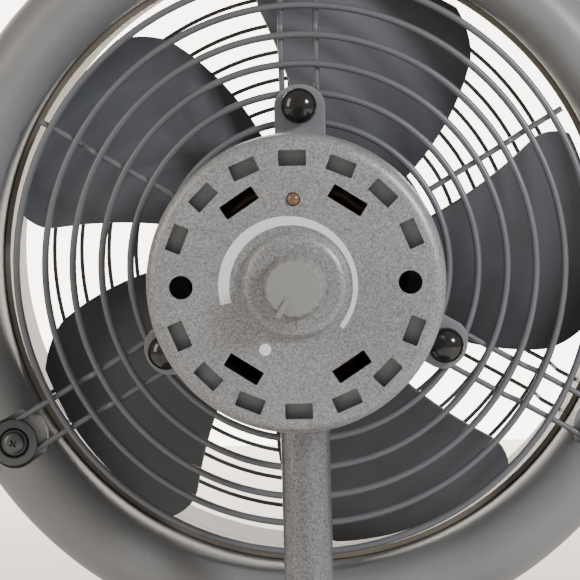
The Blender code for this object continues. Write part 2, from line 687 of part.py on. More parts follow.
def make_saddle(parent):
    """Curved plate under the can, round the post's upper end."""
    inner = SHELL_RADIUS + SEAT_GAP
    outer = inner + SADDLE_THICKNESS
    half = math.degrees(math.asin(SADDLE_WIDTH / 2.0 / inner))
    outline = []
    steps = 8
    for index in range(steps + 1):
        outline.append(clock(outer, 180.0 - half + 2.0 * half * index / steps))
    for index in range(steps + 1):
        outline.append(clock(inner, 180.0 + half - 2.0 * half * index / steps))
    saddle = make_object(
        "post_saddle", prism(outline, SADDLE_LENGTH), MATERIALS["grey_coat"],
        fan_axis_point(-SADDLE_LENGTH / 2.0), "Y", parent=parent,
    )
    return combine(saddle, post_hole_tool("saddle_hole", parent), "DIFFERENCE")


def vent_tool(parent):
    """Return the cutter for every vent in the motor's face."""
    bm = bmesh.new()
    depth = (CAN_WALL + BOSS_HEIGHT) * 2.0
    spacing = 360.0 / VENT_COUNT
    side_positions = (VENT_COUNT // 4, 3 * VENT_COUNT // 4)
    for index in range(VENT_COUNT):
        degrees = index * spacing
        if index in side_positions:
            add_rod(bm, SIDE_HOLE_RADIUS, -depth, depth, ROUND_SMALL, clock(SIDE_HOLE_CIRCLE, degrees))
        else:
            add_vent(bm, VENT_CIRCLE, degrees, VENT_LENGTH, VENT_WIDTH, depth)
    for degrees in (INNER_VENT_ANGLE, -INNER_VENT_ANGLE, 180.0 - INNER_VENT_ANGLE, 180.0 + INNER_VENT_ANGLE):
        add_vent(bm, INNER_VENT_CIRCLE, degrees, INNER_VENT_LENGTH, INNER_VENT_WIDTH, depth)
    add_rod(bm, LAMP_RADIUS + SEAT_GAP, -depth, depth, ROUND_SMALL, clock(LAMP_HEIGHT, 0.0))
    return tool_object("vent_cutter", bm, fan_axis_point(FACE_Y), "Y", parent)


def add_vent(bm, circle, degrees, length, width, depth):
    """Add one rectangular vent, its long side along the circle."""
    x, y = clock(circle, degrees)
    turn = Matrix.Rotation(degrees * DEG, 4, "Z")
    add_box(bm, (length, width, depth), Matrix.Translation((x, y, 0.0)) @ turn)


def make_motor_cover(parent):
    """Cup-shaped can: a slotted face with a round boss on a short drum, and a slimmer shell behind it."""
    spindle = SPINDLE_RADIUS + SEAT_GAP
    edge = CAN_EDGE_RADIUS
    inner_edge = CAN_EDGE_RADIUS - CAN_WALL
    boss_inner = BOSS_RADIUS - CAN_WALL
    outside = [(spindle, -BOSS_HEIGHT)]
    corner = (BOSS_RADIUS - BOSS_EDGE, BOSS_EDGE - BOSS_HEIGHT)
    outside += arc(corner, (BOSS_EDGE, BOSS_EDGE), -90.0, 0.0, 2)
    outside += [(BOSS_RADIUS, 0.0)]
    outside += arc((CAN_RADIUS - edge, edge), (edge, edge), -90.0, 0.0, 3)
    outside += [(CAN_RADIUS, DRUM_LENGTH), (SHELL_RADIUS, DRUM_LENGTH), (SHELL_RADIUS, CAN_LENGTH)]
    step = DRUM_LENGTH - CAN_WALL
    inside = [(SHELL_RADIUS - CAN_WALL, CAN_LENGTH), (SHELL_RADIUS - CAN_WALL, step)]
    inside += [(CAN_RADIUS - CAN_WALL, step)]
    inside += arc((CAN_RADIUS - edge, edge), (inner_edge, inner_edge), 0.0, -90.0, 1)
    boss_floor = CAN_WALL - BOSS_HEIGHT
    inside += [(boss_inner, CAN_WALL), (boss_inner, boss_floor), (spindle, boss_floor)]
    cover = make_object(
        "motor_cover", lathe(outside + inside, ROUND_LARGE), MATERIALS["motor_coat"],
        fan_axis_point(FACE_Y), "Y", parent=parent,
    )
    combine(cover, vent_tool(parent), "DIFFERENCE")
    return combine(cover, post_hole_tool("cover_hole", parent), "DIFFERENCE")


def make_front_bell(parent):
    """End bell that closes the can and seats the front bearing."""
    seat = BEARING_RADIUS + SEAT_GAP
    lip = BELL_THICKNESS - BELL_SKIN
    spigot = SHELL_RADIUS - CAN_WALL - SEAT_GAP
    hub = seat + BELL_HUB_WALL
    floor = lip - BELL_WEB
    profile = [(seat, 0.0), (hub, 0.0), (hub, floor), (spigot - BELL_SPIGOT_WALL, floor)]
    profile += [(spigot - BELL_SPIGOT_WALL, -BELL_SPIGOT), (spigot, -BELL_SPIGOT)]
    profile += [(spigot, 0.0), (SHELL_RADIUS - BELL_INSET, 0.0), (SHELL_RADIUS - BELL_INSET, BELL_THICKNESS)]
    pocket = BEARING_WIDTH + SEAT_GAP
    profile += [(SHAFT_RADIUS + RUNNING_GAP, BELL_THICKNESS), (SHAFT_RADIUS + RUNNING_GAP, pocket)]
    profile += [(seat, pocket)]
    make_object(
        "front_bell", lathe(profile, ROUND_MEDIUM), MATERIALS["aluminium"],
        fan_axis_point(BELL_Y), "Y", parent=parent,
    )


def make_bearing(name, y, parent):
    """Closed ball bearing, one sealed ring."""
    make_object(
        name, disc(BEARING_RADIUS, BEARING_WIDTH, ROUND_MEDIUM, SHAFT_RADIUS + PRESS_GAP),
        MATERIALS["steel"], fan_axis_point(y), "Y", parent=parent,
    )


def make_rear_bracket(parent):
    """Spider behind the board: a rim that fits the drum, four arms and the rear bearing's seat."""
    reach = CAN_RADIUS - CAN_WALL - SEAT_GAP
    spot = fan_axis_point(BRACKET_Y)
    rim = disc(reach, BRACKET_THICKNESS, ROUND_LARGE, reach - BRACKET_RIM_WIDTH)
    bracket = make_object("rear_bracket", rim, MATERIALS["aluminium"], spot, "Y", parent=parent)
    middle = Matrix.Translation((0.0, 0.0, BRACKET_THICKNESS / 2.0))
    size = (BRACKET_ARM_WIDTH, reach * 2.0 - BRACKET_RIM_WIDTH, BRACKET_THICKNESS)
    for index, angle in enumerate(BRACKET_ANGLES):
        arm = bmesh.new()
        add_box(arm, size, middle @ Matrix.Rotation(angle * DEG, 4, "Z"))
        combine(bracket, tool_object(f"bracket_arm_{index + 1}", arm, spot, "Y", parent), "UNION")
    boss = bmesh.new()
    add_rod(boss, BEARING_RADIUS + BRACKET_BOSS_WALL, 0.0, BEARING_WIDTH, ROUND_MEDIUM)
    combine(bracket, tool_object("bracket_boss", boss, spot, "Y", parent), "UNION")
    bore = bmesh.new()
    add_rod(bore, BEARING_RADIUS + SEAT_GAP, -BEARING_WIDTH, BEARING_WIDTH * 2.0, ROUND_MEDIUM)
    for degrees in (90.0, 270.0):
        window = SIDE_HOLE_RADIUS + SIDE_HOLE_MARGIN
        spot_on_rim = clock(SIDE_HOLE_CIRCLE, degrees)
        add_rod(bore, window, -BRACKET_THICKNESS, BRACKET_THICKNESS * 2.0, ROUND_SMALL, spot_on_rim)
    return combine(bracket, tool_object("bracket_bore", bore, spot, "Y", parent), "DIFFERENCE")


def make_stator(parent):
    """Laminated core and the copper end turns on both its sides."""
    make_object(
        "stator_core", disc(STATOR_RADIUS, STATOR_LENGTH, ROUND_MEDIUM, STATOR_BORE),
        MATERIALS["steel"], fan_axis_point(STATOR_START), "Y", parent=parent,
    )
    mid = (WINDING_RADIUS + WINDING_BORE) / 2.0
    half = (WINDING_RADIUS - WINDING_BORE) / 2.0
    end_turn = arc((mid, WINDING_LENGTH / 2.0), (half, WINDING_LENGTH / 2.0), 0.0, 300.0, 5)
    rear_y = STATOR_START - WINDING_LENGTH - SEAT_GAP
    front_y = STATOR_START + STATOR_LENGTH + SEAT_GAP
    for name, y in (("winding_rear", rear_y), ("winding_front", front_y)):
        turns = lathe(end_turn, ROUND_MEDIUM)
        make_object(name, turns, MATERIALS["copper"], fan_axis_point(y), "Y", parent=parent)


def make_control(parent):
    """Control board with the potentiometer behind the boss, and the lamp above it."""
    board = prism([clock(BOARD_RADIUS, degrees) for degrees in ring_angles(24)], BOARD_THICKNESS)
    board_object = make_object(
        "control_board", board, MATERIALS["board"], fan_axis_point(BOARD_Y), "Y", parent=parent,
    )
    tab = bmesh.new()
    tab_end = LAMP_HEIGHT + LAMP_RADIUS * 1.5
    add_box(
        tab, (LAMP_RADIUS * 4.0, tab_end, BOARD_THICKNESS),
        Matrix.Translation((0.0, -tab_end / 2.0, BOARD_THICKNESS / 2.0)),
    )
    combine(board_object, tool_object("board_tab", tab, fan_axis_point(BOARD_Y), "Y", parent), "UNION")
    make_object(
        "potentiometer", disc(POT_RADIUS, POT_DEPTH, ROUND_MEDIUM, SPINDLE_RADIUS + SEAT_GAP),
        MATERIALS["steel"], fan_axis_point(POT_Y), "Y", parent=parent,
    )
    lamp_length = BOARD_Y - SEAT_GAP - FACE_Y
    profile = [(0.0, lamp_length), (LAMP_RADIUS, lamp_length)]
    profile += arc((0.0, 0.0), (LAMP_RADIUS, LAMP_DOME), 0.0, -90.0, 4)[:-1]
    profile += [(0.0, -LAMP_DOME)]
    spot = lug_point(LAMP_HEIGHT, 0.0, FACE_Y)
    make_object("lamp", lathe(profile, ROUND_SMALL), MATERIALS["lamp"], spot, "Y", parent=parent)


def make_speed_knob(parent):
    """Fluted knob with a pointer ridge, on its own pivot, and the spindle that it turns."""
    pivot = make_pivot("speed_pivot", Vector(fan_axis_point(BOSS_FACE_Y)), parent)
    bottom = BOSS_FACE_Y - RUNNING_GAP
    knob = prism(lobed_outline(KNOB_RADIUS, FLUTE_DEPTH, KNOB_FLUTES, 3), -KNOB_HEIGHT)
    top = [edge for edge in knob.edges if max(vert.co.z for vert in edge.verts) < -KNOB_HEIGHT * 0.9]
    bmesh.ops.bevel(knob, geom=top, offset=KNOB_RADIUS - KNOB_SKIRT, segments=1, affect="EDGES", material=-1)
    body = make_object(
        "speed_knob", knob, MATERIALS["knob"], fan_axis_point(bottom), "Y", parent=pivot,
    )
    ridge = bmesh.new()
    length = KNOB_SKIRT * 0.62
    x, y = clock(KNOB_SKIRT - length / 2.0, POINTER_OFF_ANGLE)
    turn = Matrix.Rotation(POINTER_OFF_ANGLE * DEG, 4, "Z")
    height = POINTER_RISE * 2.0
    add_box(ridge, (POINTER_WIDTH, length, height), Matrix.Translation((x, y, -KNOB_HEIGHT)) @ turn)
    combine(body, tool_object("pointer_ridge", ridge, fan_axis_point(bottom), "Y", pivot), "UNION")
    socket = bmesh.new()
    add_rod(socket, SPINDLE_RADIUS + SEAT_GAP, -KNOB_HEIGHT * 0.7, KNOB_HEIGHT, ROUND_SMALL)
    combine(body, tool_object("knob_socket", socket, fan_axis_point(bottom), "Y", pivot), "DIFFERENCE")
    start = bottom - KNOB_HEIGHT * 0.7 + SEAT_GAP
    end = POT_Y + POT_DEPTH - SEAT_GAP
    make_object(
        "speed_spindle", disc(SPINDLE_RADIUS, end - start, ROUND_SMALL), MATERIALS["steel"],
        fan_axis_point(start), "Y", parent=pivot,
    )


# ---------------------------------------------------------------- plate and guards

def make_mounting_plate(parent):
    """Flat plate behind the motor with three round-ended lugs."""
    spot = fan_axis_point(PLATE_Y)
    plate = make_object(
        "mounting_plate", disc(PLATE_RADIUS, PLATE_THICKNESS, ROUND_MEDIUM), MATERIALS["plate_coat"],
        spot, "Y", parent=parent,
    )
    half = LUG_WIDTH / 2.0
    for index, degrees in enumerate(ring_angles(LUG_COUNT)):
        outline = [(-half, -PLATE_RADIUS * 0.6), (half, -PLATE_RADIUS * 0.6)]
        for step in range(10):
            angle = step * 20.0 * DEG
            outline.append((half * math.cos(angle), -LUG_CIRCLE - LUG_END * math.sin(angle)))
        lug = prism(outline, PLATE_THICKNESS)
        combine(plate, tool_object(f"lug_{index + 1}", lug, spot, "Y", parent, degrees), "UNION")
    holes = bmesh.new()
    add_rod(holes, BEARING_RADIUS, -PLATE_THICKNESS, PLATE_THICKNESS * 2.0, ROUND_MEDIUM)
    for degrees in ring_angles(LUG_COUNT):
        on_lug = clock(LUG_CIRCLE, degrees)
        add_rod(holes, STUD_RADIUS + SEAT_GAP, -PLATE_THICKNESS, PLATE_THICKNESS * 2.0, ROUND_SMALL, on_lug)
    return combine(plate, tool_object("plate_holes", holes, spot, "Y", parent), "DIFFERENCE")


def make_lug_fasteners(parent):
    """Glossy dome-headed bolts through the lugs, and the nuts that clamp the guard behind them."""
    seat = PLATE_Y - SEAT_GAP
    nut_y = RING_Y + ROD_OFFSET + ROD_WIRE + SEAT_GAP
    shank = nut_y + NUT_HEIGHT + STUD_TAIL - seat
    profile = [(0.0, shank), (STUD_RADIUS, shank), (STUD_RADIUS, 0.0), (DOME_RADIUS * 0.92, 0.0)]
    profile += arc((0.0, -DOME_HEIGHT * 0.3), (DOME_RADIUS, DOME_HEIGHT * 0.7), 0.0, -90.0, 4)[:-1]
    profile += [(0.0, -DOME_HEIGHT)]
    hexagon = hexagon_outline(NUT_RADIUS)
    for index, degrees in enumerate(ring_angles(LUG_COUNT)):
        make_object(
            f"dome_bolt_{index + 1}", lathe(profile, ROUND_SMALL), MATERIALS["gloss_black"],
            lug_point(LUG_CIRCLE, degrees, seat), "Y", parent=parent,
        )
        nut = make_object(
            f"lug_nut_{index + 1}", prism(hexagon, NUT_HEIGHT), MATERIALS["dark_steel"],
            lug_point(LUG_CIRCLE, degrees, nut_y), "Y", parent=parent,
        )
        bore = bmesh.new()
        add_rod(bore, STUD_RADIUS + PRESS_GAP, -NUT_HEIGHT, NUT_HEIGHT * 2.0, ROUND_SMALL)
        spot = lug_point(LUG_CIRCLE, degrees, nut_y)
        combine(nut, tool_object(f"nut_bore_{index + 1}", bore, spot, "Y", parent), "DIFFERENCE")


def ring_radii(first, last, count):
    """Return the radii of a guard's rings, evenly spaced."""
    pitch = (last - first) / (count - 1)
    return [first + pitch * index for index in range(count)]


def circle_path(radius, height):
    """Return the points of a guard ring."""
    points = []
    for index in range(GUARD_SEGMENTS):
        x, y = clock(radius, 360.0 * index / GUARD_SEGMENTS)
        points.append(Vector((x, y, height)))
    return points


def radial_point(along, across, degrees, height):
    """Return a point from its distance along and across a radius."""
    x, y = clock(along, degrees)
    side_x, side_y = clock(across, degrees + 90.0)
    return Vector((x + side_x, y + side_y, height))


def loop_path(inner, outer, half_width, degrees, height_at):
    """Return the closed path of a wire loop between two screw centres, bent where the guard is dished."""
    stations = [inner] + [along for along in height_at["bends"] if inner < along < outer] + [outer]
    points = []
    for along in stations:
        points.append(radial_point(along, half_width, degrees, height_at["height"](along)))
    for step in range(1, 6):
        turn = step * 30.0 * DEG
        along = outer + half_width * math.sin(turn)
        points.append(radial_point(along, half_width * math.cos(turn), degrees, height_at["height"](outer)))
    for along in reversed(stations):
        points.append(radial_point(along, -half_width, degrees, height_at["height"](along)))
    for step in range(1, 6):
        turn = step * 30.0 * DEG
        along = inner - half_width * math.sin(turn)
        points.append(radial_point(along, -half_width * math.cos(turn), degrees, height_at["height"](inner)))
    return points


def make_guard(name, y, rings, rods, wires, parent):
    """Join a guard's rings and its radial wires into one welded piece."""
    ring_wire, rod_wire = wires
    ring_mesh = bmesh.new()
    for radius, height in rings:
        add_wire(ring_mesh, circle_path(radius, height), ring_wire, 4, True)
    wire_coat = MATERIALS["wire_coat"]
    guard = make_object(name, ring_mesh, wire_coat, fan_axis_point(y), "Y", parent=parent, crease=50.0)
    rod_mesh = bmesh.new()
    for path, closed in rods:
        add_wire(rod_mesh, path, rod_wire, 4, closed)
    return combine(guard, tool_object(f"{name}_rods", rod_mesh, fan_axis_point(y), "Y", parent), "UNION")


def make_inlet_guard(parent):
    """Dished guard round the motor: four flat rings, two set back, three loops and three single rods."""
    radii = ring_radii(INLET_FIRST_RING, INLET_LAST_RING, INLET_RING_COUNT)
    last_flat = radii[INLET_FLAT_RINGS - 1] + BEND_GAP
    first_deep = radii[INLET_FLAT_RINGS] - BEND_GAP

    def rod_height(along):
        if along <= last_flat:
            return ROD_OFFSET
        return ROD_OFFSET + INLET_DISH

    rings = []
    for index, radius in enumerate(radii):
        rings.append((radius, 0.0 if index < INLET_FLAT_RINGS else INLET_DISH))
    shape = {"bends": (last_flat, first_deep), "height": rod_height}
    rods = []
    for degrees in ring_angles(LUG_COUNT):
        rods.append((loop_path(LUG_CIRCLE, INLET_SCREW_CIRCLE, HAIRPIN_HALF_WIDTH, degrees, shape), True))
        stations = (radii[0] - ROD_WIRE, last_flat, first_deep, radii[-1] + ROD_TAIL)
        single = degrees + 180.0 / LUG_COUNT
        rods.append(([radial_point(along, 0.0, single, rod_height(along)) for along in stations], False))
    return make_guard("inlet_guard", RING_Y, rings, rods, (RING_WIRE, ROD_WIRE), parent)


def make_outlet_guard(parent):
    """Guard dished back behind the wheel: rings on three loops, closed by a disc welded on its middle."""
    radii = ring_radii(OUTLET_FIRST_RING, OUTLET_LAST_RING, OUTLET_RING_COUNT)
    joggle_start = radii[-1] + BEND_GAP
    joggle_end = joggle_start + OUTLET_JOGGLE_RUN

    def rod_height(along):
        if along <= joggle_start:
            return -OUTLET_ROD_OFFSET
        return -OUTLET_ROD_OFFSET - OUTLET_DISH

    shape = {"bends": (joggle_start, joggle_end), "height": rod_height}
    rings = [(radius, 0.0) for radius in radii]
    rods = []
    inner = OUTLET_DISC_RADIUS - HAIRPIN_HALF_WIDTH
    for degrees in ring_angles(LUG_COUNT):
        rods.append((loop_path(inner, OUTLET_SCREW_CIRCLE, HAIRPIN_HALF_WIDTH, degrees, shape), True))
    guard = make_guard("outlet_guard", OUTLET_RING_Y, rings, rods, (OUTLET_WIRE, OUTLET_WIRE), parent)
    start = OUTLET_WIRE - WELD_BITE - OUTLET_ROD_OFFSET
    cap = disc(OUTLET_DISC_RADIUS, OUTLET_DISC_THICKNESS, ROUND_MEDIUM, 0.0, start)
    spot = fan_axis_point(OUTLET_RING_Y)
    return combine(guard, tool_object("outlet_disc", cap, spot, "Y", parent), "UNION")


def make_guard_fasteners(parent):
    """Washers and screws that clamp the inlet guard's loops, and flanged screws for the outlet guard."""
    washer = [(SCREW_RADIUS + SEAT_GAP, 0.0), (WASHER_RADIUS, 0.0), (WASHER_RADIUS, -WASHER_THICKNESS)]
    washer += [(SCREW_RADIUS + SEAT_GAP, -WASHER_THICKNESS)]
    depth = PAD_Y - WASHER_Y + WASHER_THICKNESS + SEAT_GAP + SCREW_LENGTH
    for index, degrees in enumerate(ring_angles(LUG_COUNT)):
        make_object(
            f"guard_washer_{index + 1}", lathe(washer, ROUND_MEDIUM), MATERIALS["dark_steel"],
            lug_point(INLET_SCREW_CIRCLE, degrees, WASHER_Y), "Y", parent=parent,
        )
        head_y = WASHER_Y - WASHER_THICKNESS - SEAT_GAP
        screw = screw_mesh(depth)
        bmesh.ops.scale(screw, vec=(1.0, 1.0, -1.0), verts=screw.verts)
        make_object(
            f"guard_screw_{index + 1}", screw, MATERIALS["dark_steel"],
            lug_point(INLET_SCREW_CIRCLE, degrees, head_y), "Y", parent=parent,
        )
        outlet_y = SLEEVE_Y + SLEEVE_FLANGE_THICKNESS + SEAT_GAP
        reach = outlet_y - DUCT_END_Y + OUTLET_FLANGE_THICKNESS - SEAT_GAP
        profile = [(0.0, -reach), (SCREW_RADIUS, -reach), (SCREW_RADIUS, 0.0), (WASHER_RADIUS * 0.9, 0.0)]
        profile += [(WASHER_RADIUS * 0.9, WASHER_THICKNESS), (SCREW_HEAD_RADIUS, WASHER_THICKNESS)]
        top = WASHER_THICKNESS + SCREW_HEAD_HEIGHT
        profile += [(SCREW_HEAD_RADIUS * 0.7, top), (0.0, top)]
        make_object(
            f"outlet_screw_{index + 1}", lathe(profile, ROUND_SMALL), MATERIALS["dark_steel"],
            lug_point(OUTLET_SCREW_CIRCLE, degrees, outlet_y), "Y", parent=parent,
        )


# ---------------------------------------------------------------- shroud, duct and wheel

def make_shroud(parent):
    """Bell-mouth ring with a rolled outer lip, three screw pads and the pockets round them."""
    rise = LIP_DEPTH
    half = (LIP_RADIUS - THROAT_RADIUS) / 2.0
    collar_end = COLLAR_END_Y - CREST_Y
    back = LIP_BACK_Y - CREST_Y
    collar_radius = THROAT_RADIUS + DUCT_WALL
    outside = [(LIP_RADIUS - SHROUD_WALL, back), (LIP_RADIUS, back)]
    outside += arc((LIP_MID_RADIUS, rise), (half, rise), 0.0, -180.0, 8)
    outside += [(THROAT_RADIUS, collar_end)]
    inside = [(collar_radius, collar_end), (collar_radius, rise + SHROUD_WALL)]
    inner_half = half - SHROUD_WALL
    inside += arc((LIP_MID_RADIUS, rise), (inner_half, rise - SHROUD_WALL), -180.0, 0.0, 4)[1:]
    spot = fan_axis_point(CREST_Y)
    shroud = make_object(
        "shroud", lathe(outside + inside, ROUND_LARGE), MATERIALS["shroud_coat"], spot, "Y", parent=parent,
    )
    pads = bmesh.new()
    pad_face = PAD_Y - CREST_Y
    pockets = bmesh.new()
    bores = bmesh.new()
    for degrees in ring_angles(LUG_COUNT):
        centre = clock(INLET_SCREW_CIRCLE, degrees)
        bore_end = pad_face + SCREW_LENGTH + SEAT_GAP
        add_rod(pads, PAD_RADIUS, pad_face * 0.9, bore_end + PAD_FLOOR, ROUND_MEDIUM, centre)
        add_rod(pockets, WASHER_RADIUS + WASHER_MARGIN, -pad_face, pad_face, ROUND_MEDIUM, centre)
        add_rod(bores, SCREW_RADIUS + SEAT_GAP, pad_face * 0.8, bore_end, ROUND_SMALL, centre)
    combine(shroud, tool_object("shroud_pads", pads, spot, "Y", parent), "UNION")
    combine(shroud, tool_object("shroud_pockets", pockets, spot, "Y", parent), "DIFFERENCE")
    combine(shroud, tool_object("shroud_bores", bores, spot, "Y", parent), "DIFFERENCE")
    channels = bmesh.new()
    width = (HAIRPIN_HALF_WIDTH + ROD_WIRE + CHANNEL_MARGIN) * 2.0
    for degrees in ring_angles(LUG_COUNT):
        length = INLET_SCREW_CIRCLE - DUCT_RADIUS + CHANNEL_OVERRUN
        x, y = clock(INLET_SCREW_CIRCLE - length / 2.0, degrees)
        turn = Matrix.Rotation(degrees * DEG, 4, "Z")
        add_box(channels, (width, length, pad_face * 2.0), Matrix.Translation((x, y, 0.0)) @ turn)
    combine(shroud, tool_object("shroud_channels", channels, spot, "Y", parent), "DIFFERENCE")
    return shroud


def make_duct(parent):
    """Straight duct that slips into the shroud's collar, with a flange for the outlet guard."""
    outer = DUCT_RADIUS + DUCT_WALL
    front = DUCT_LENGTH - OUTLET_FLANGE_THICKNESS
    profile = [(DUCT_RADIUS, 0.0), (outer, 0.0), (outer, front), (OUTLET_FLANGE_RADIUS, front)]
    profile += [(OUTLET_FLANGE_RADIUS, DUCT_LENGTH), (DUCT_RADIUS, DUCT_LENGTH)]
    spot = fan_axis_point(DUCT_Y)
    shell = lathe(profile, ROUND_LARGE)
    duct = make_object("duct", shell, MATERIALS["duct_coat"], spot, "Y", parent=parent)
    bores = flange_bores(front, DUCT_LENGTH)
    return combine(duct, tool_object("duct_bores", bores, spot, "Y", parent), "DIFFERENCE")


def make_outlet_sleeve(parent):
    """Rear part of the duct; its flange clamps the outlet guard's loops in three channels."""
    outer = DUCT_RADIUS + DUCT_WALL
    rim = SLEEVE_FLANGE_THICKNESS
    profile = [(DUCT_RADIUS, 0.0), (OUTLET_FLANGE_RADIUS, 0.0), (OUTLET_FLANGE_RADIUS, rim), (outer, rim)]
    profile += [(outer, SLEEVE_LENGTH), (DUCT_RADIUS, SLEEVE_LENGTH)]
    spot = fan_axis_point(SLEEVE_Y)
    shell = lathe(profile, ROUND_LARGE)
    sleeve = make_object("outlet_sleeve", shell, MATERIALS["duct_coat"], spot, "Y", parent=parent)
    channels = bmesh.new()
    width = (HAIRPIN_HALF_WIDTH + OUTLET_WIRE + SLEEVE_CHANNEL_MARGIN) * 2.0
    depth = (2.0 * OUTLET_WIRE + SEAT_GAP) * 2.0
    length = (OUTLET_FLANGE_RADIUS - DUCT_RADIUS) * 1.5
    middle = (OUTLET_FLANGE_RADIUS + DUCT_RADIUS) / 2.0
    for degrees in ring_angles(LUG_COUNT):
        x, y = clock(middle, degrees)
        turn = Matrix.Rotation(degrees * DEG, 4, "Z")
        add_box(channels, (width, length, depth), Matrix.Translation((x, y, 0.0)) @ turn)
    combine(sleeve, tool_object("sleeve_channels", channels, spot, "Y", parent), "DIFFERENCE")
    bores = flange_bores(0.0, rim)
    return combine(sleeve, tool_object("sleeve_bores", bores, spot, "Y", parent), "DIFFERENCE")


def flange_bores(front, back):
    """Return the three screw bores through a flange that lies between two heights."""
    bores = bmesh.new()
    margin = OUTLET_FLANGE_THICKNESS
    for degrees in ring_angles(LUG_COUNT):
        centre = clock(OUTLET_SCREW_CIRCLE, degrees)
        add_rod(bores, SCREW_RADIUS + SEAT_GAP, front - margin, back + margin, ROUND_SMALL, centre)
    return bores


def blade_point(across, along, side):
    """Return a point of a blade; across runs from leading to trailing edge, along from root to tip."""
    radius = HUB_RADIUS - HUB_WALL * 0.5 + (TIP_RADIUS - HUB_RADIUS + HUB_WALL * 0.5) * along
    start = BLADE_ROOT_SPAN[0] + (BLADE_TIP_SPAN[0] - BLADE_ROOT_SPAN[0]) * along
    end = BLADE_ROOT_SPAN[1] + (BLADE_TIP_SPAN[1] - BLADE_ROOT_SPAN[1]) * along ** 1.4
    corner = max(0.0, along - 0.8) / 0.2
    trim = BLADE_TIP_TRIM * corner ** 2
    degrees = (start + trim) + (end - start - 2.0 * trim) * across
    camber = BLADE_CAMBER * math.sin(math.pi * across)
    height = (across - 0.5) * BLADE_AXIAL * (1.0 - BLADE_TWIST * along) - camber
    x, y = clock(radius, degrees)
    return Vector((x, y, height + side * BLADE_THICKNESS * 0.5))


def blade_mesh(turn):
    """Return one blade as a closed curved plate."""
    across_steps = 5
    along_steps = 4
    bm = bmesh.new()
    faces = {}
    for side in (-1.0, 1.0):
        grid = []
        for row in range(along_steps + 1):
            line = []
            for column in range(across_steps + 1):
                along = math.sin(90.0 * DEG * row / along_steps)
                line.append(bm.verts.new(blade_point(column / across_steps, along, side)))
            grid.append(line)
        faces[side] = grid
        for row in range(along_steps):
            for column in range(across_steps):
                near = grid[row]
                far = grid[row + 1]
                bm.faces.new((near[column], near[column + 1], far[column + 1], far[column]))
    border = [(0, column) for column in range(across_steps)]
    border += [(row, across_steps) for row in range(along_steps)]
    border += [(along_steps, column) for column in range(across_steps, 0, -1)]
    border += [(row, 0) for row in range(along_steps, 0, -1)]
    for index, (row, column) in enumerate(border):
        next_row, next_column = border[(index + 1) % len(border)]
        low = faces[-1.0]
        high = faces[1.0]
        lower = (low[row][column], low[next_row][next_column])
        upper = (high[next_row][next_column], high[row][column])
        bm.faces.new(lower + upper)
    bmesh.ops.rotate(bm, cent=(0.0, 0.0, 0.0), matrix=Matrix.Rotation(turn * DEG, 3, "Z"), verts=bm.verts)
    bmesh.ops.recalc_face_normals(bm, faces=bm.faces)
    return bm


def make_fan_wheel(parent):
    """Hub cup with five swept blades moulded on it."""
    half = HUB_LENGTH / 2.0
    bore = SHAFT_RADIUS + PRESS_GAP
    boss = SHAFT_RADIUS + HUB_BOSS_WALL
    inner = HUB_RADIUS - HUB_WALL
    profile = [(bore, -half * 0.5), (boss, -half * 0.5), (boss, half - HUB_WALL), (inner, half - HUB_WALL)]
    profile += [(inner, -half), (HUB_RADIUS, -half), (HUB_RADIUS, half - HUB_EDGE)]
    profile += [(HUB_RADIUS - HUB_EDGE, half), (bore, half)]
    spot = fan_axis_point(WHEEL_Y + half)
    hub = lathe(profile, ROUND_MEDIUM)
    wheel = make_object("fan_wheel", hub, MATERIALS["blade_plastic"], spot, "Y", parent=parent)
    for index in range(BLADE_COUNT):
        blade = blade_mesh(360.0 * index / BLADE_COUNT)
        combine(wheel, tool_object(f"blade_{index + 1}", blade, spot, "Y", parent), "UNION")
    return wheel


def make_rotor(parent):
    """Shaft, rotor core, wheel and wheel nut, all on the spinning pivot."""
    pivot = make_pivot("spin_pivot", Vector(fan_axis_point(WHEEL_Y)), parent)
    hub_end = WHEEL_Y + HUB_LENGTH
    shaft_end = hub_end + NUT_HEIGHT + SHAFT_TAIL
    make_object(
        "motor_shaft", disc(SHAFT_RADIUS, shaft_end - SHAFT_START_Y, ROUND_MEDIUM), MATERIALS["steel"],
        fan_axis_point(SHAFT_START_Y), "Y", parent=pivot,
    )
    core = disc(ROTOR_RADIUS, STATOR_LENGTH, ROUND_MEDIUM, SHAFT_RADIUS + PRESS_GAP)
    make_object("rotor_core", core, MATERIALS["steel"], fan_axis_point(STATOR_START), "Y", parent=pivot)
    make_fan_wheel(pivot)
    spot = fan_axis_point(hub_end + SEAT_GAP)
    block = prism(hexagon_outline(SHAFT_RADIUS + WHEEL_NUT_RIM), NUT_HEIGHT)
    nut = make_object("wheel_nut", block, MATERIALS["dark_steel"], spot, "Y", parent=pivot)
    bore = bmesh.new()
    add_rod(bore, SHAFT_RADIUS + PRESS_GAP, -NUT_HEIGHT, NUT_HEIGHT * 2.0, ROUND_MEDIUM)
    combine(nut, tool_object("wheel_nut_bore", bore, spot, "Y", pivot), "DIFFERENCE")


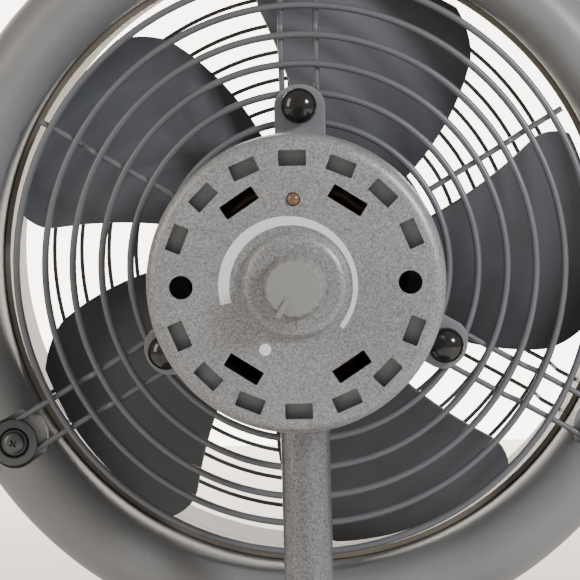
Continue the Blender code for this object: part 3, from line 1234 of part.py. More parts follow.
def make_materials():
    """Return every material by name."""
    return {
        "motor_coat": make_material("motor_coat", (0.27, 0.28, 0.29), 0.5, 0.6),
        "shroud_coat": make_material("shroud_coat", (0.19, 0.20, 0.20), 0.5, 0.1),
        "duct_coat": make_material("duct_coat", (0.26, 0.26, 0.24), 0.5, 0.1),
        "grey_coat": make_material("grey_coat", (0.19, 0.20, 0.20), 0.5, 0.3),
        "plate_coat": make_material("plate_coat", (0.18, 0.19, 0.21), 0.5, 0.3),
        "wire_coat": make_material("wire_coat", (0.15, 0.16, 0.18), 0.35, 0.4),
        "post_coat": make_material("post_coat", (0.19, 0.19, 0.20), 0.35, 0.6),
        "dark_coat": make_material("dark_coat", (0.06, 0.06, 0.07), 0.5, 0.3),
        "blade_plastic": make_material("blade_plastic", (0.05, 0.055, 0.06), 0.5, 0.0),
        "gloss_black": make_material("gloss_black", (0.01, 0.01, 0.01), 0.15, 0.0),
        "black_plastic": make_material("black_plastic", (0.02, 0.02, 0.02), 0.4, 0.0),
        "knob": make_material("knob", (0.20, 0.21, 0.21), 0.5, 0.0),
        "rubber": make_material("rubber", (0.02, 0.02, 0.02), 0.8, 0.0),
        "steel": make_material("steel", (0.5, 0.5, 0.5), 0.35, 1.0),
        "dark_steel": make_material("dark_steel", (0.07, 0.07, 0.08), 0.4, 0.9),
        "aluminium": make_material("aluminium", (0.6, 0.6, 0.6), 0.4, 1.0),
        "copper": make_material("copper", (0.4, 0.16, 0.07), 0.4, 0.8),
        "board": make_material("board", (0.02, 0.12, 0.05), 0.5, 0.0),
        "lamp": make_material("lamp", (0.35, 0.24, 0.16), 0.1, 0.0),
    }


def build():
    """Make the whole air mover."""
    make_base_plate()
    make_feet()
    make_base_flange()
    make_cable_gland()
    make_flange_screws()
    make_lower_post()
    make_fork()
    make_pivot_bolt()
    make_clamp_knob()
    head = make_pivot("head_pivot", Vector((0.0, 0.0, PIVOT_Z)))
    make_tongue(head)
    make_post(head)
    make_saddle(head)
    make_motor_cover(head)
    make_front_bell(head)
    make_bearing("front_bearing", BELL_Y, head)
    make_bearing("rear_bearing", BRACKET_Y, head)
    make_rear_bracket(head)
    make_stator(head)
    make_control(head)
    make_speed_knob(head)
    make_mounting_plate(head)
    make_lug_fasteners(head)
    make_inlet_guard(head)
    make_guard_fasteners(head)
    make_shroud(head)
    make_duct(head)
    make_outlet_sleeve(head)
    make_outlet_guard(head)
    make_rotor(head)


clear_scene()
MATERIALS = make_materials()
build()
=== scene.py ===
"""Looks of an axial air mover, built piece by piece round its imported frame.

Units are metres and +Z is up. The fan axis runs along Y: the motor and the inlet guard face -Y. Clock
angles are read clockwise from the top, seen from the motor side. Local Z of a turned piece runs along
the fan axis towards the outlet, and its local Y points down.
"""
import json
import logging
import math
from dataclasses import dataclass
from enum import Enum
from typing import Callable, Iterable, Sequence

import bmesh
import bpy
from bmesh.types import BMEdge, BMesh, BMVert
from mathutils import Matrix, Vector


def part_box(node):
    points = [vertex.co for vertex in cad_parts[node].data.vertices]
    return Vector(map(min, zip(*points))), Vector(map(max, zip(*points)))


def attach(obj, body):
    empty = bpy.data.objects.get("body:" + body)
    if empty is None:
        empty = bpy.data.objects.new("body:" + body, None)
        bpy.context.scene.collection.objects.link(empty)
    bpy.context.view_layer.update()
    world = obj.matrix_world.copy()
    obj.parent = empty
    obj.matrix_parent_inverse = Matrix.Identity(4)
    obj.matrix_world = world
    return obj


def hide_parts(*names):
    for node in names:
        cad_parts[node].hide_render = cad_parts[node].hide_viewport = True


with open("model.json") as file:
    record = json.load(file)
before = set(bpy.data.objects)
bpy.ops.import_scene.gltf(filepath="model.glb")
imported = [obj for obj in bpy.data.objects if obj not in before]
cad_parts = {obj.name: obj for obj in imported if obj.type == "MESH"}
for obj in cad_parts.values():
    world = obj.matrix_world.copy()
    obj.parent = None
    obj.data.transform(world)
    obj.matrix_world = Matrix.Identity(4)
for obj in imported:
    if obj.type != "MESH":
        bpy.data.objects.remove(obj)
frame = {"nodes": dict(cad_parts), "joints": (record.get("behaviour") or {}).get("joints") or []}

MM = 0.001
FULL_TURN = math.tau
SEAT_GAP = 0.3 * MM
WELD_BITE = 0.4 * MM
THIRDS = (0.0, 120.0, 240.0)

log = logging.getLogger("air_mover")
Outline = list[tuple[float, float]]
Pieces = list[bpy.types.Object]


class Body(Enum):
    """Moving bodies of the frame."""

    STAND = "stand"
    CLAMP = "clamp"
    HEAD = "head"
    ROTOR = "rotor"
    CONTROL = "control"


class Operation(Enum):
    """What one solid does to another."""

    CUT = "DIFFERENCE"
    JOIN = "UNION"


class Grain(Enum):
    """How the small pattern in a surface was made."""

    FLECK = "metal flakes in stoved paint"
    PEEL = "powder coat that flowed like orange peel"
    SPARK = "spark-eroded mould"
    TURNED = "tool rings round the fan axis"
    WOUND = "turns of enamelled wire"
    STACKED = "stacked laminations"
    TRACKS = "copper tracks under solder mask"
    DUST = "gloss with faint dust"


# ---------------------------------------------------------------- finishes

def linear(code: str) -> tuple[float, float, float, float]:
    """Turn an sRGB hex code into linear colour.

    Args:
        code: six hex digits, with or without a leading hash.

    Returns:
        Linear red, green and blue, and an alpha of one.
    """
    digits = code.lstrip("#")
    channels = []
    for start in (0, 2, 4):
        value = int(digits[start:start + 2], 16) / 255.0
        channels.append(value / 12.92 if value <= 0.04045 else ((value + 0.055) / 1.055) ** 2.4)
    return (channels[0], channels[1], channels[2], 1.0)


def add_node(tree: bpy.types.NodeTree, kind: str, inputs: dict | None = None, **settings) -> bpy.types.Node:
    """Add one shader node.

    Args:
        tree: the material's node tree.
        kind: the node's type name.
        inputs: socket name or index to a value, or to the output socket that feeds it.
        settings: the node's own properties.

    Returns:
        The new node.
    """
    node = tree.nodes.new(kind)
    for key, value in settings.items():
        setattr(node, key, value)
    for key, value in (inputs or {}).items():
        if isinstance(value, bpy.types.NodeSocket):
            tree.links.new(value, node.inputs[key])
        else:
            node.inputs[key].default_value = value
    return node


@dataclass(frozen=True)
class Finish:
    """One surface finish: its colours, its grain and how it shines."""

    name: str
    slot: str
    base: str
    grain_colour: str
    grain: Grain
    size_mm: float
    relief_mm: float = 0.02
    contrast: float = 0.5
    metallic: float = 0.0
    roughness: float = 0.5
    roughness_swing: float = 0.08
    ior: float = 1.5
    coat: float = 0.0
    coat_roughness: float = 0.1
    transmission: float = 0.0
    mottle: float = 0.06
    mottle_mm: float = 38.0
    glow: float = 0.0

    def material(self) -> bpy.types.Material:
        """Return this finish's material, made on first use."""
        known = bpy.data.materials.get(self.name)
        if known is not None:
            return known
        material = bpy.data.materials.new(self.name)
        material.use_nodes = True
        tree = material.node_tree
        shader = tree.nodes["Principled BSDF"]
        where = self._coordinates(tree)
        grain = self._grain_value(tree, where)
        colour = self._colour(tree, where, grain)
        tree.links.new(colour, shader.inputs["Base Color"])
        rough = add_node(tree, "ShaderNodeMapRange", {
            "Value": grain,
            "To Min": max(0.02, self.roughness - self.roughness_swing),
            "To Max": min(1.0, self.roughness + self.roughness_swing),
        })
        tree.links.new(rough.outputs["Result"], shader.inputs["Roughness"])
        bump = add_node(tree, "ShaderNodeBump", {
            "Height": grain, "Strength": 1.0, "Distance": self.relief_mm * MM,
        })
        tree.links.new(bump.outputs["Normal"], shader.inputs["Normal"])
        shader.inputs["Metallic"].default_value = self.metallic
        shader.inputs["Coat Weight"].default_value = self.coat
        shader.inputs["Coat Roughness"].default_value = self.coat_roughness
        shader.inputs["Transmission Weight"].default_value = self.transmission
        if self.glow:
            shader.inputs["Emission Color"].default_value = linear(self.base)
            shader.inputs["Emission Strength"].default_value = self.glow
        if self.metallic < 1.0:
            shader.inputs["IOR"].default_value = self.ior
        return material

    def _coordinates(self, tree: bpy.types.NodeTree) -> bpy.types.NodeSocket:
        """Return object coordinates with the fan axis through their zero.

        Args:
            tree: the material's node tree.

        Returns:
            The socket that gives them.
        """
        source = add_node(tree, "ShaderNodeTexCoord")
        shift = add_node(tree, "ShaderNodeMapping", {
            "Vector": source.outputs["Object"], "Location": (0.0, 0.0, -DATUM.axis_z),
        })
        return shift.outputs["Vector"]

    def _grain_value(self, tree: bpy.types.NodeTree, where: bpy.types.NodeSocket) -> bpy.types.NodeSocket:
        """Return the grain's value, from 0 to 1.

        Args:
            tree: the material's node tree.
            where: the coordinates.

        Returns:
            The socket that gives it.
        """
        scale = 1.0 / (self.size_mm * MM)
        if self.grain is Grain.FLECK:
            cells = add_node(tree, "ShaderNodeTexVoronoi", {"Vector": where, "Scale": scale})
            single = add_node(tree, "ShaderNodeSeparateColor", {"Color": cells.outputs["Color"]})
            cloud = add_node(tree, "ShaderNodeTexNoise",
                             {"Vector": where, "Scale": scale * 0.6, "Detail": 3.0})
            mixed = add_node(tree, "ShaderNodeMix", {
                "Factor": 0.55, "A": single.outputs["Red"], "B": cloud.outputs["Fac"],
            })
            return mixed.outputs["Result"]
        if self.grain in (Grain.TURNED, Grain.WOUND):
            rings = add_node(tree, "ShaderNodeTexWave", {
                "Vector": where, "Scale": scale / 20.0, "Distortion": 0.4, "Detail": 2.0,
            }, wave_type="RINGS", rings_direction="Y")
            return rings.outputs["Fac"]
        if self.grain is Grain.STACKED:
            bands = add_node(tree, "ShaderNodeTexWave", {
                "Vector": where, "Scale": scale / 20.0, "Distortion": 0.2,
            }, wave_type="BANDS", bands_direction="Y")
            return bands.outputs["Fac"]
        if self.grain is Grain.TRACKS:
            tracks = add_node(tree, "ShaderNodeTexVoronoi", {"Vector": where, "Scale": scale},
                              feature="DISTANCE_TO_EDGE")
            edge = add_node(tree, "ShaderNodeMapRange",
                            {"Value": tracks.outputs["Distance"], "From Max": 0.2})
            return edge.outputs["Result"]
        detail = {Grain.PEEL: 2.0, Grain.SPARK: 6.0, Grain.DUST: 8.0}[self.grain]
        noise = add_node(tree, "ShaderNodeTexNoise", {"Vector": where, "Scale": scale, "Detail": detail})
        return noise.outputs["Fac"]

    def _colour(
        self, tree: bpy.types.NodeTree, where: bpy.types.NodeSocket, grain: bpy.types.NodeSocket,
    ) -> bpy.types.NodeSocket:
        """Return the base colour: grain over body colour, with a slow drift in tone.

        Args:
            tree: the material's node tree.
            where: the coordinates.
            grain: the grain's value.

        Returns:
            The socket that gives it.
        """
        reach = self.contrast * 0.5
        share = add_node(tree, "ShaderNodeMapRange", {
            "Value": grain, "From Min": 0.5 - 0.3, "From Max": 0.5 + 0.3, "To Min": 0.5 - reach,
            "To Max": 0.5 + reach,
        })
        blend = add_node(tree, "ShaderNodeMix", {
            "Factor": share.outputs["Result"], "A": linear(self.base), "B": linear(self.grain_colour),
        }, data_type="RGBA")
        drift = add_node(tree, "ShaderNodeTexNoise", {
            "Vector": where, "Scale": 1.0 / (self.mottle_mm * MM), "Detail": 3.0,
        })
        tone = add_node(tree, "ShaderNodeMapRange", {
            "Value": drift.outputs["Fac"], "From Min": 0.3, "From Max": 0.7,
            "To Min": 1.0 - self.mottle, "To Max": 1.0 + self.mottle,
        })
        toned = add_node(tree, "ShaderNodeMix", {
            "Factor": 1.0, "A": blend.outputs["Result"], "B": tone.outputs["Result"],
        }, data_type="RGBA", blend_type="MULTIPLY")
        return toned.outputs["Result"]


# Stoved metallic paint on sheet steel: pale flakes under a half-matt varnish. The flakes are drawn
# about 0.55 mm across, coarser than the real 0.1 mm, so that they show.
CAN_PAINT = Finish(
    "can_paint", "motor_coat", "#6d6e72", "#b0b1b6", Grain.FLECK, 0.55, relief_mm=0.03, contrast=0.9,
    metallic=0.35, roughness=0.42, roughness_swing=0.08,
)
# The same paint on the post, laid thinner and a little darker.
POST_PAINT = Finish(
    "post_paint", "post_coat", "#5e5f64", "#a2a3a9", Grain.FLECK, 0.5, relief_mm=0.02, contrast=0.9,
    metallic=0.6, roughness=0.3, roughness_swing=0.06,
)
# Zinc-plated sheet with grey passivation, smooth and half matt.
PLATE_PAINT = Finish(
    "plate_paint", "plate_coat", "#808289", "#90929a", Grain.PEEL, 1.4, relief_mm=0.02, contrast=0.5,
    metallic=0.2, roughness=0.45,
)
# Polyester powder coat on pressed steel: satin, with a fine orange peel.
SHROUD_POWDER = Finish(
    "shroud_powder", "shroud_coat", "#7e7f83", "#8d8e93", Grain.PEEL, 1.1, relief_mm=0.03, contrast=0.6,
    metallic=0.15, roughness=0.46,
)
# The same powder on the duct's barrel, in a warm light grey. The warmth is partly a painted reflection of the
# warm backdrop, seen at a grazing angle on the duct's inner wall.
DUCT_POWDER_WITH_PAINTED_REFLECTION = Finish(
    "duct_powder_with_painted_reflection", "duct_coat", "#7a7268", "#867e74", Grain.PEEL, 1.2, relief_mm=0.03, contrast=0.5,
    roughness=0.5,
)
# Thin satin powder on drawn steel wire: it shines along the crown of each wire.
WIRE_POWDER = Finish(
    "wire_powder", "wire_coat", "#63656c", "#777981", Grain.PEEL, 0.8, relief_mm=0.02, contrast=0.5,
    metallic=0.25, roughness=0.38,
)
# Glass-filled nylon, moulded in a spark-eroded tool: dull, slightly blue, with faint flow marks.
BLADE_NYLON = Finish(
    "blade_nylon", "blade_plastic", "#4b4e55", "#585b62", Grain.SPARK, 1.0, relief_mm=0.03, contrast=0.7,
    roughness=0.52, mottle=0.1, mottle_mm=24.0,
)
# Gloss black enamel on turned steel domes: mirror-like, with a trace of dust.
DOME_ENAMEL = Finish(
    "dome_enamel", "gloss_black", "#0c0c0e", "#17171a", Grain.DUST, 2.0, relief_mm=0.004, contrast=0.6,
    roughness=0.16, roughness_swing=0.04, coat=0.6, coat_roughness=0.05,
)
# ABS, moulded with a fine eroded texture: satin, warm mid grey.
KNOB_ABS = Finish(
    "knob_abs", "knob_plastic", "#858685", "#8f908f", Grain.SPARK, 0.5, relief_mm=0.012, contrast=0.6,
    roughness=0.4, roughness_swing=0.05, mottle=0.03,
)
# Glass-filled nylon, black, moulded with a matt grip texture.
GRIP_NYLON = Finish(
    "grip_nylon", "black_plastic", "#1b1b1d", "#27272a", Grain.SPARK, 0.7, relief_mm=0.03, contrast=0.7,
    roughness=0.48,
)
# Black-oxide steel: dark, oily half shine, with a turned grain.
BLACK_OXIDE = Finish(
    "black_oxide", "dark_steel", "#5a5b5f", "#6c6d71", Grain.SPARK, 0.6, relief_mm=0.01, contrast=0.6,
    metallic=1.0, roughness=0.42,
)
# Powder coat on the round steel base, as on the shroud but coarser.
STAND_POWDER = Finish(
    "stand_powder", "stand_coat", "#6c6d70", "#7b7c80", Grain.PEEL, 1.6, relief_mm=0.05, contrast=0.6,
    metallic=0.1, roughness=0.52,
)
# Wrinkled dark powder on the cast tilt joint.
CAST_POWDER = Finish(
    "cast_powder", "dark_coat", "#36373a", "#45464a", Grain.PEEL, 1.0, relief_mm=0.07, contrast=0.7,
    metallic=0.1, roughness=0.55,
)
# Die-cast aluminium, tumbled: pale, with a soft cloudy grain.
CAST_ALUMINIUM = Finish(
    "cast_aluminium", "aluminium", "#8a8c90", "#a0a2a6", Grain.PEEL, 1.2, relief_mm=0.03, contrast=0.6,
    metallic=1.0, roughness=0.45,
)
# Turned steel: bright, with fine tool rings.
TURNED_STEEL = Finish(
    "turned_steel", "steel", "#8d8f93", "#a5a7ab", Grain.TURNED, 0.6, relief_mm=0.008, contrast=0.5,
    metallic=1.0, roughness=0.32,
)
# Silicon steel sheets in a stack, seen on edge.
CORE_STEEL = Finish(
    "core_steel", "steel", "#4d4e52", "#77797d", Grain.STACKED, 1.0, relief_mm=0.08, contrast=0.9,
    metallic=1.0, roughness=0.45,
)
# Enamelled copper wire under amber varnish.
COIL_COPPER = Finish(
    "coil_copper", "copper", "#38261a", "#6a472c", Grain.WOUND, 0.8, relief_mm=0.15, contrast=0.95,
    metallic=0.7, roughness=0.34, coat=0.4, coat_roughness=0.2,
)
# Glass-epoxy board with green solder mask over its tracks.
BOARD_MASK = Finish(
    "board_mask", "board", "#0f2a18", "#1f4d2c", Grain.TRACKS, 3.0, relief_mm=0.04, contrast=0.9,
    roughness=0.4, coat=0.3,
)
# Clear epoxy lamp, tinted brown.
LAMP_EPOXY = Finish(
    "lamp_epoxy", "lamp", "#7c5a3c", "#8e6a49", Grain.DUST, 2.0, relief_mm=0.002, contrast=0.4,
    roughness=0.1, roughness_swing=0.03, coat=0.8, coat_roughness=0.03, transmission=0.25,
)
# Nitrile rubber, moulded and matt.
FOOT_RUBBER = Finish(
    "foot_rubber", "rubber", "#161616", "#202020", Grain.SPARK, 1.2, relief_mm=0.05, contrast=0.7,
    roughness=0.78,
)
# Screen-printed epoxy ink, bluish white.
DIAL_INK = Finish(
    "dial_ink", "motor_coat", "#dfe3ee", "#eef1f8", Grain.SPARK, 0.5, relief_mm=0.01, contrast=0.6,
    roughness=0.5, mottle=0.02,
)
# Painted studio floor, very pale and warm.
FLOOR_PAINT = Finish(
    "floor_paint", "stand_coat", "#efece6", "#f4f1ec", Grain.PEEL, 6.0, relief_mm=0.02, contrast=0.4,
    roughness=0.7, mottle=0.01, mottle_mm=400.0,
)
# Light panel behind the floor, a lamp-lit translucent sheet.
WALL_PANEL = Finish(
    "wall_panel", "stand_coat", "#f6efe4", "#faf4ea", Grain.PEEL, 6.0, relief_mm=0.02, contrast=0.4,
    roughness=0.7, mottle=0.01, mottle_mm=400.0, glow=6.5,
)


# ---------------------------------------------------------------- places

@dataclass(frozen=True)
class Datum:
    """Places that every sub-assembly measures from, read from the frame."""

    axis_z: float
    pivot_z: float

    @classmethod
    def read(cls) -> "Datum":
        """Read the fan axis and the tilt axis from the joints."""
        places = {joint["name"]: joint["pos_m"] for joint in frame["joints"]}
        return cls(axis_z=places["fan_spin"][2], pivot_z=places["head_tilt"][2])

    def axial(self, y: float) -> Matrix:
        """Return the matrix that lays local Z along the fan axis, its zero at one y."""
        return Matrix.Translation((0.0, y, self.axis_z)) @ Matrix.Rotation(math.radians(-90.0), 4, "X")

    def off_axis(self, radius: float, degrees: float, y: float) -> Matrix:
        """Return the same, moved to a clock angle and turned with it.

        Args:
            radius: distance from the fan axis.
            degrees: the clock angle.
            y: where local zero lies along the fan axis.

        Returns:
            The matrix.
        """
        x, down = clock(radius, degrees)
        turn = Matrix.Rotation(math.radians(degrees), 4, "Z")
        return self.axial(y) @ Matrix.Translation((x, down, 0.0)) @ turn


DATUM = Datum.read()


def clock(radius: float, degrees: float) -> tuple[float, float]:
    """Return the local x, y of a point at a clock angle."""
    angle = math.radians(degrees)
    return radius * math.sin(angle), -radius * math.cos(angle)


def half_width(node: str) -> float:
    """Return half of a frame node's width across X."""
    low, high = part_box(node)
    return (high.x - low.x) / 2.0


def upright(z: float, x: float = 0.0, y: float = 0.0) -> Matrix:
    """Return the matrix that stands a piece on a height."""
    return Matrix.Translation((x, y, z))


def across(z: float) -> Matrix:
    """Return the matrix that lays local Z along +X at a height."""
    return Matrix.Translation((0.0, 0.0, z)) @ Matrix.Rotation(math.radians(90.0), 4, "Y")


# ---------------------------------------------------------------- modelling

def arc(centre: tuple[float, float], radii: tuple[float, float], start: float, end: float,
        steps: int) -> Outline:
    """Return points on an elliptic arc.

    Args:
        centre: the ellipse's centre.
        radii: its half axes.
        start: first angle in degrees, from the first axis.
        end: last angle in degrees.
        steps: spans between the points.

    Returns:
        The points in order, one more than the spans.
    """
    points = []
    for index in range(steps + 1):
        angle = math.radians(start + (end - start) * index / steps)
        points.append((centre[0] + radii[0] * math.cos(angle), centre[1] + radii[1] * math.sin(angle)))
    return points


def turned(profile: Outline, steps: int, fillets: dict[int, float] | None = None) -> BMesh:
    """Spin a closed outline about local Z.

    Args:
        profile: points as radius and height; ends that lie on the axis stay open there.
        steps: facets round the turn.
        fillets: profile point to the size of its rounded corner.

    Returns:
        The closed turned shape.
    """
    bm = bmesh.new()
    verts = [bm.verts.new((radius, 0.0, height)) for radius, height in profile]
    for pair in zip(verts, verts[1:]):
        bm.edges.new(pair)
    if profile[0][0] > 0.0 or profile[-1][0] > 0.0:
        bm.edges.new((verts[-1], verts[0]))
    for index, size in (fillets or {}).items():
        bmesh.ops.bevel(
            bm, geom=[verts[index]], offset=size, offset_type="OFFSET", segments=5, profile=0.5,
            affect="VERTICES", material=-1,
        )
    bmesh.ops.spin(
        bm, geom=bm.verts[:] + bm.edges[:], cent=(0.0, 0.0, 0.0), axis=(0.0, 0.0, 1.0),
        angle=FULL_TURN, steps=steps, use_merge=True,
    )
    bmesh.ops.remove_doubles(bm, verts=bm.verts, dist=1e-6)
    bmesh.ops.recalc_face_normals(bm, faces=bm.faces)
    return bm


def rod(radius: float, low: float, high: float, steps: int,
        centre: tuple[float, float] = (0.0, 0.0)) -> BMesh:
    """Return a plain bar along local Z.

    Args:
        radius: the bar's radius.
        low: height of its lower end.
        high: height of its upper end.
        steps: facets round it.
        centre: where its axis crosses local zero.

    Returns:
        The closed bar.
    """
    bm = bmesh.new()
    bmesh.ops.create_cone(
        bm, cap_ends=True, segments=steps, radius1=radius, radius2=radius, depth=high - low,
        matrix=Matrix.Translation((centre[0], centre[1], (low + high) / 2.0)),
    )
    return bm


def block(size: tuple[float, float, float], matrix: Matrix) -> BMesh:
    """Return a box of one size at a place.

    Args:
        size: its three edges.
        matrix: where it lies.

    Returns:
        The box.
    """
    bm = bmesh.new()
    bmesh.ops.create_cube(bm, size=1.0, matrix=matrix @ Matrix.Diagonal((*size, 1.0)))
    return bm


def slab(outline: Outline, height: float, base: float = 0.0) -> BMesh:
    """Extrude a flat outline along local Z.

    Args:
        outline: corners in order.
        height: how far it is extruded.
        base: height of the outline.

    Returns:
        The closed slab.
    """
    bm = bmesh.new()
    face = bm.faces.new([bm.verts.new((x, y, base)) for x, y in outline])
    lifted = bmesh.ops.extrude_face_region(bm, geom=[face])["geom"]
    top = [item for item in lifted if isinstance(item, BMVert)]
    bmesh.ops.translate(bm, verts=top, vec=(0.0, 0.0, height))
    bmesh.ops.recalc_face_normals(bm, faces=bm.faces)
    return bm


def soften(bm: BMesh, size: float, segments: int = 2, angle: float = 40.0,
           where: Callable[[BMEdge], bool] | None = None) -> BMesh:
    """Round the sharp edges of a shape.

    Args:
        bm: the shape.
        size: width of the rounding.
        segments: facets across it.
        angle: how sharp an edge is, in degrees, before it counts.
        where: picks some of the sharp edges.

    Returns:
        The same shape.
    """
    limit = math.radians(angle)
    sharp = [edge for edge in bm.edges if edge.is_manifold and edge.calc_face_angle(0.0) > limit]
    if where is not None:
        sharp = [edge for edge in sharp if where(edge)]
    bmesh.ops.bevel(
        bm, geom=sharp, offset=size, offset_type="OFFSET", segments=segments, profile=0.5,
        affect="EDGES", clamp_overlap=True, material=-1,
    )
    return bm


def gather(parts: Iterable[BMesh]) -> BMesh:
    """Put several shapes into one mesh, without joining them.

    Args:
        parts: the shapes, which are used up.

    Returns:
        The mesh that holds them all.
    """
    whole = bmesh.new()
    for part in parts:
        mesh = bpy.data.meshes.new("part")
        part.to_mesh(mesh)
        part.free()
        whole.from_mesh(mesh)
        bpy.data.meshes.remove(mesh)
    return whole


def combine(first: BMesh, second: BMesh, operation: Operation) -> BMesh:
    """Cut the second shape from the first, or join them.

    Args:
        first: the shape that is kept; it is used up.
        second: the other shape; it is used up too.
        operation: what the second does to the first.

    Returns:
        The resulting shape.
    """
    objects = []
    for label, bm in (("target", first), ("tool", second)):
        mesh = bpy.data.meshes.new(label)
        bm.to_mesh(mesh)
        bm.free()
        thing = bpy.data.objects.new(label, mesh)
        bpy.context.scene.collection.objects.link(thing)
        objects.append(thing)
    target, tool = objects
    modifier = target.modifiers.new("combine", "BOOLEAN")
    modifier.operation = operation.value
    modifier.solver = "EXACT"
    modifier.object = tool
    graph = bpy.context.evaluated_depsgraph_get()
    evaluated = target.evaluated_get(graph).to_mesh()
    result = bmesh.new()
    result.from_mesh(evaluated)
    for thing in objects:
        mesh = thing.data
        bpy.data.objects.remove(thing, do_unlink=True)
        bpy.data.meshes.remove(mesh)
    bmesh.ops.remove_doubles(result, verts=result.verts, dist=2e-6)
    return result


def wire(path: Sequence[Vector], radius: float, closed: bool) -> BMesh:
    """Sweep a round wire along a path.

    Args:
        path: points of the wire's centre line.
        radius: the wire's radius.
        closed: whether the last point joins the first.

    Returns:
        The wire, capped at its ends if it is open.
    """
    curve = bpy.data.curves.new("wire_path", "CURVE")
    curve.dimensions = "3D"
    curve.bevel_depth = radius
    curve.bevel_resolution = 4
    curve.use_fill_caps = not closed
    spline = curve.splines.new("POLY")
    spline.points.add(len(path) - 1)
    for point, place in zip(spline.points, path):
        point.co = (*place, 1.0)
    spline.use_cyclic_u = closed
    holder = bpy.data.objects.new("wire_path", curve)
    bpy.context.scene.collection.objects.link(holder)
    mesh = bpy.data.meshes.new_from_object(holder.evaluated_get(bpy.context.evaluated_depsgraph_get()))
    bm = bmesh.new()
    bm.from_mesh(mesh)
    bpy.data.objects.remove(holder, do_unlink=True)
    bpy.data.curves.remove(curve)
    bpy.data.meshes.remove(mesh)
    bmesh.ops.remove_doubles(bm, verts=bm.verts, dist=1e-6)
    bmesh.ops.recalc_face_normals(bm, faces=bm.faces)
    return bm


def wire_ring(radius: float, height: float, thickness: float, steps: int = 160) -> BMesh:
    """Return a ring of round wire about local Z.

    Args:
        radius: from the axis to the wire's centre line.
        height: the ring's height.
        thickness: the wire's radius.
        steps: facets round the ring.

    Returns:
        The closed ring.
    """
    bm = bmesh.new()
    section = Matrix.Translation((radius, 0.0, height)) @ Matrix.Rotation(math.radians(90.0), 4, "X")
    bmesh.ops.create_circle(bm, cap_ends=False, radius=thickness, segments=12, matrix=section)
    bmesh.ops.spin(
        bm, geom=bm.verts[:] + bm.edges[:], cent=(0.0, 0.0, 0.0), axis=(0.0, 0.0, 1.0),
        angle=FULL_TURN, steps=steps, use_merge=True,
    )
    bmesh.ops.remove_doubles(bm, verts=bm.verts, dist=1e-6)
    bmesh.ops.recalc_face_normals(bm, faces=bm.faces)
    return bm


def add_piece(name: str, bm: BMesh, place: Matrix, body: Body, finish: Finish,
              nodes: Sequence[str] = (), sharp: float = 38.0) -> bpy.types.Object:
    """Finish one visible piece and let it ride on its body.

    Args:
        name: the piece's name.
        bm: its shape in its own frame.
        place: where that frame lies.
        body: the body that it moves with.
        finish: its surface.
        nodes: the frame nodes that it stands for.
        sharp: angle in degrees past which an edge stays crisp.

    Returns:
        The piece's object, at the origin, with its place in its mesh.
    """
    bm.transform(place)
    mesh = bpy.data.meshes.new(name)
    bm.to_mesh(mesh)
    bm.free()
    mesh.shade_smooth()
    mesh.set_sharp_from_angle(angle=math.radians(sharp))
    mesh.materials.append(finish.material())
    piece = bpy.data.objects.new(name, mesh)
    bpy.context.scene.collection.objects.link(piece)
    even = piece.modifiers.new("even_normals", "WEIGHTED_NORMAL")
    even.keep_sharp = True
    even.weight = 50
    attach(piece, body.value)
    if nodes:
        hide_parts(*nodes)
    return piece


def dress(node: str, finish: Finish) -> bpy.types.Object:
    """Give a frame node that stays in view its finish.

    Args:
        node: the node's name.
        finish: its surface.

    Returns:
        The node's object.
    """
    kept = frame["nodes"][node]
    if kept.material_slots:
        for slot in kept.material_slots:
            slot.material = finish.material()
    else:
        kept.data.materials.append(finish.material())
    return kept


# ---------------------------------------------------------------- fasteners

@dataclass(frozen=True)
class PanScrew:
    """Pan-head screw with a cross recess; its head stands above local zero."""

    head_radius: float = 4.2 * MM
    head_height: float = 3.0 * MM
    shank_radius: float = 2.0 * MM
    recess_width: float = 1.0 * MM
    recess_span: float = 4.6 * MM
    recess_depth: float = 1.7 * MM

    def shape(self, depth: float) -> BMesh:
        """Return the screw.

        Args:
            depth: length of the shank below the head.

        Returns:
            The screw, its head standing above local zero.
        """
        dome = arc((0.0, 0.0), (self.head_radius, self.head_height * 0.62), 0.0, 90.0, 10)
        shoulder = self.head_height * 0.38
        profile = [(0.0, -depth), (self.shank_radius, -depth), (self.shank_radius, 0.0),
                   (self.head_radius, 0.0)]
        profile += [(radius, height + shoulder) for radius, height in dome[:-1]]
        profile += [(0.0, self.head_height)]
        body = turned(profile, 40, {3: 0.25 * MM})
        size = (self.recess_span, self.recess_width, self.recess_depth * 2.0)
        top = Matrix.Translation((0.0, 0.0, self.head_height))
        first = self._tapered(block(size, top))
        second = self._tapered(block(size, top @ Matrix.Rotation(math.radians(90.0), 4, "Z")))
        cross = combine(first, second, Operation.JOIN)
        return soften(combine(body, cross, Operation.CUT), 0.12 * MM, 1, 50.0, self._near_top)

    def _tapered(self, bm: BMesh) -> BMesh:
        """Narrow the lower end of a recess blade.

        Args:
            bm: the blade.

        Returns:
            The same blade.
        """
        low = min(vert.co.z for vert in bm.verts)
        for vert in bm.verts:
            if vert.co.z < low + 0.1 * MM:
                vert.co.x *= 0.45
                vert.co.y *= 0.45
        return bm

    def _near_top(self, edge: BMEdge) -> bool:
        """Tell the recess's mouth from the other edges."""
        return min(vert.co.z for vert in edge.verts) > self.head_height * 0.7


def hex_nut(radius: float, height: float, bore: float) -> BMesh:
    """Return a chamfered hexagon nut on local zero, bored through.

    Args:
        radius: from the axis to a corner.
        height: the nut's height.
        bore: radius of its bore.

    Returns:
        The nut.
    """
    shaped = rod(radius, 0.0, height, 6)
    soften(shaped, radius * 0.07, 2)
    return combine(shaped, rod(bore, -height, height * 2.0, 24), Operation.CUT)


# ---------------------------------------------------------------- stand

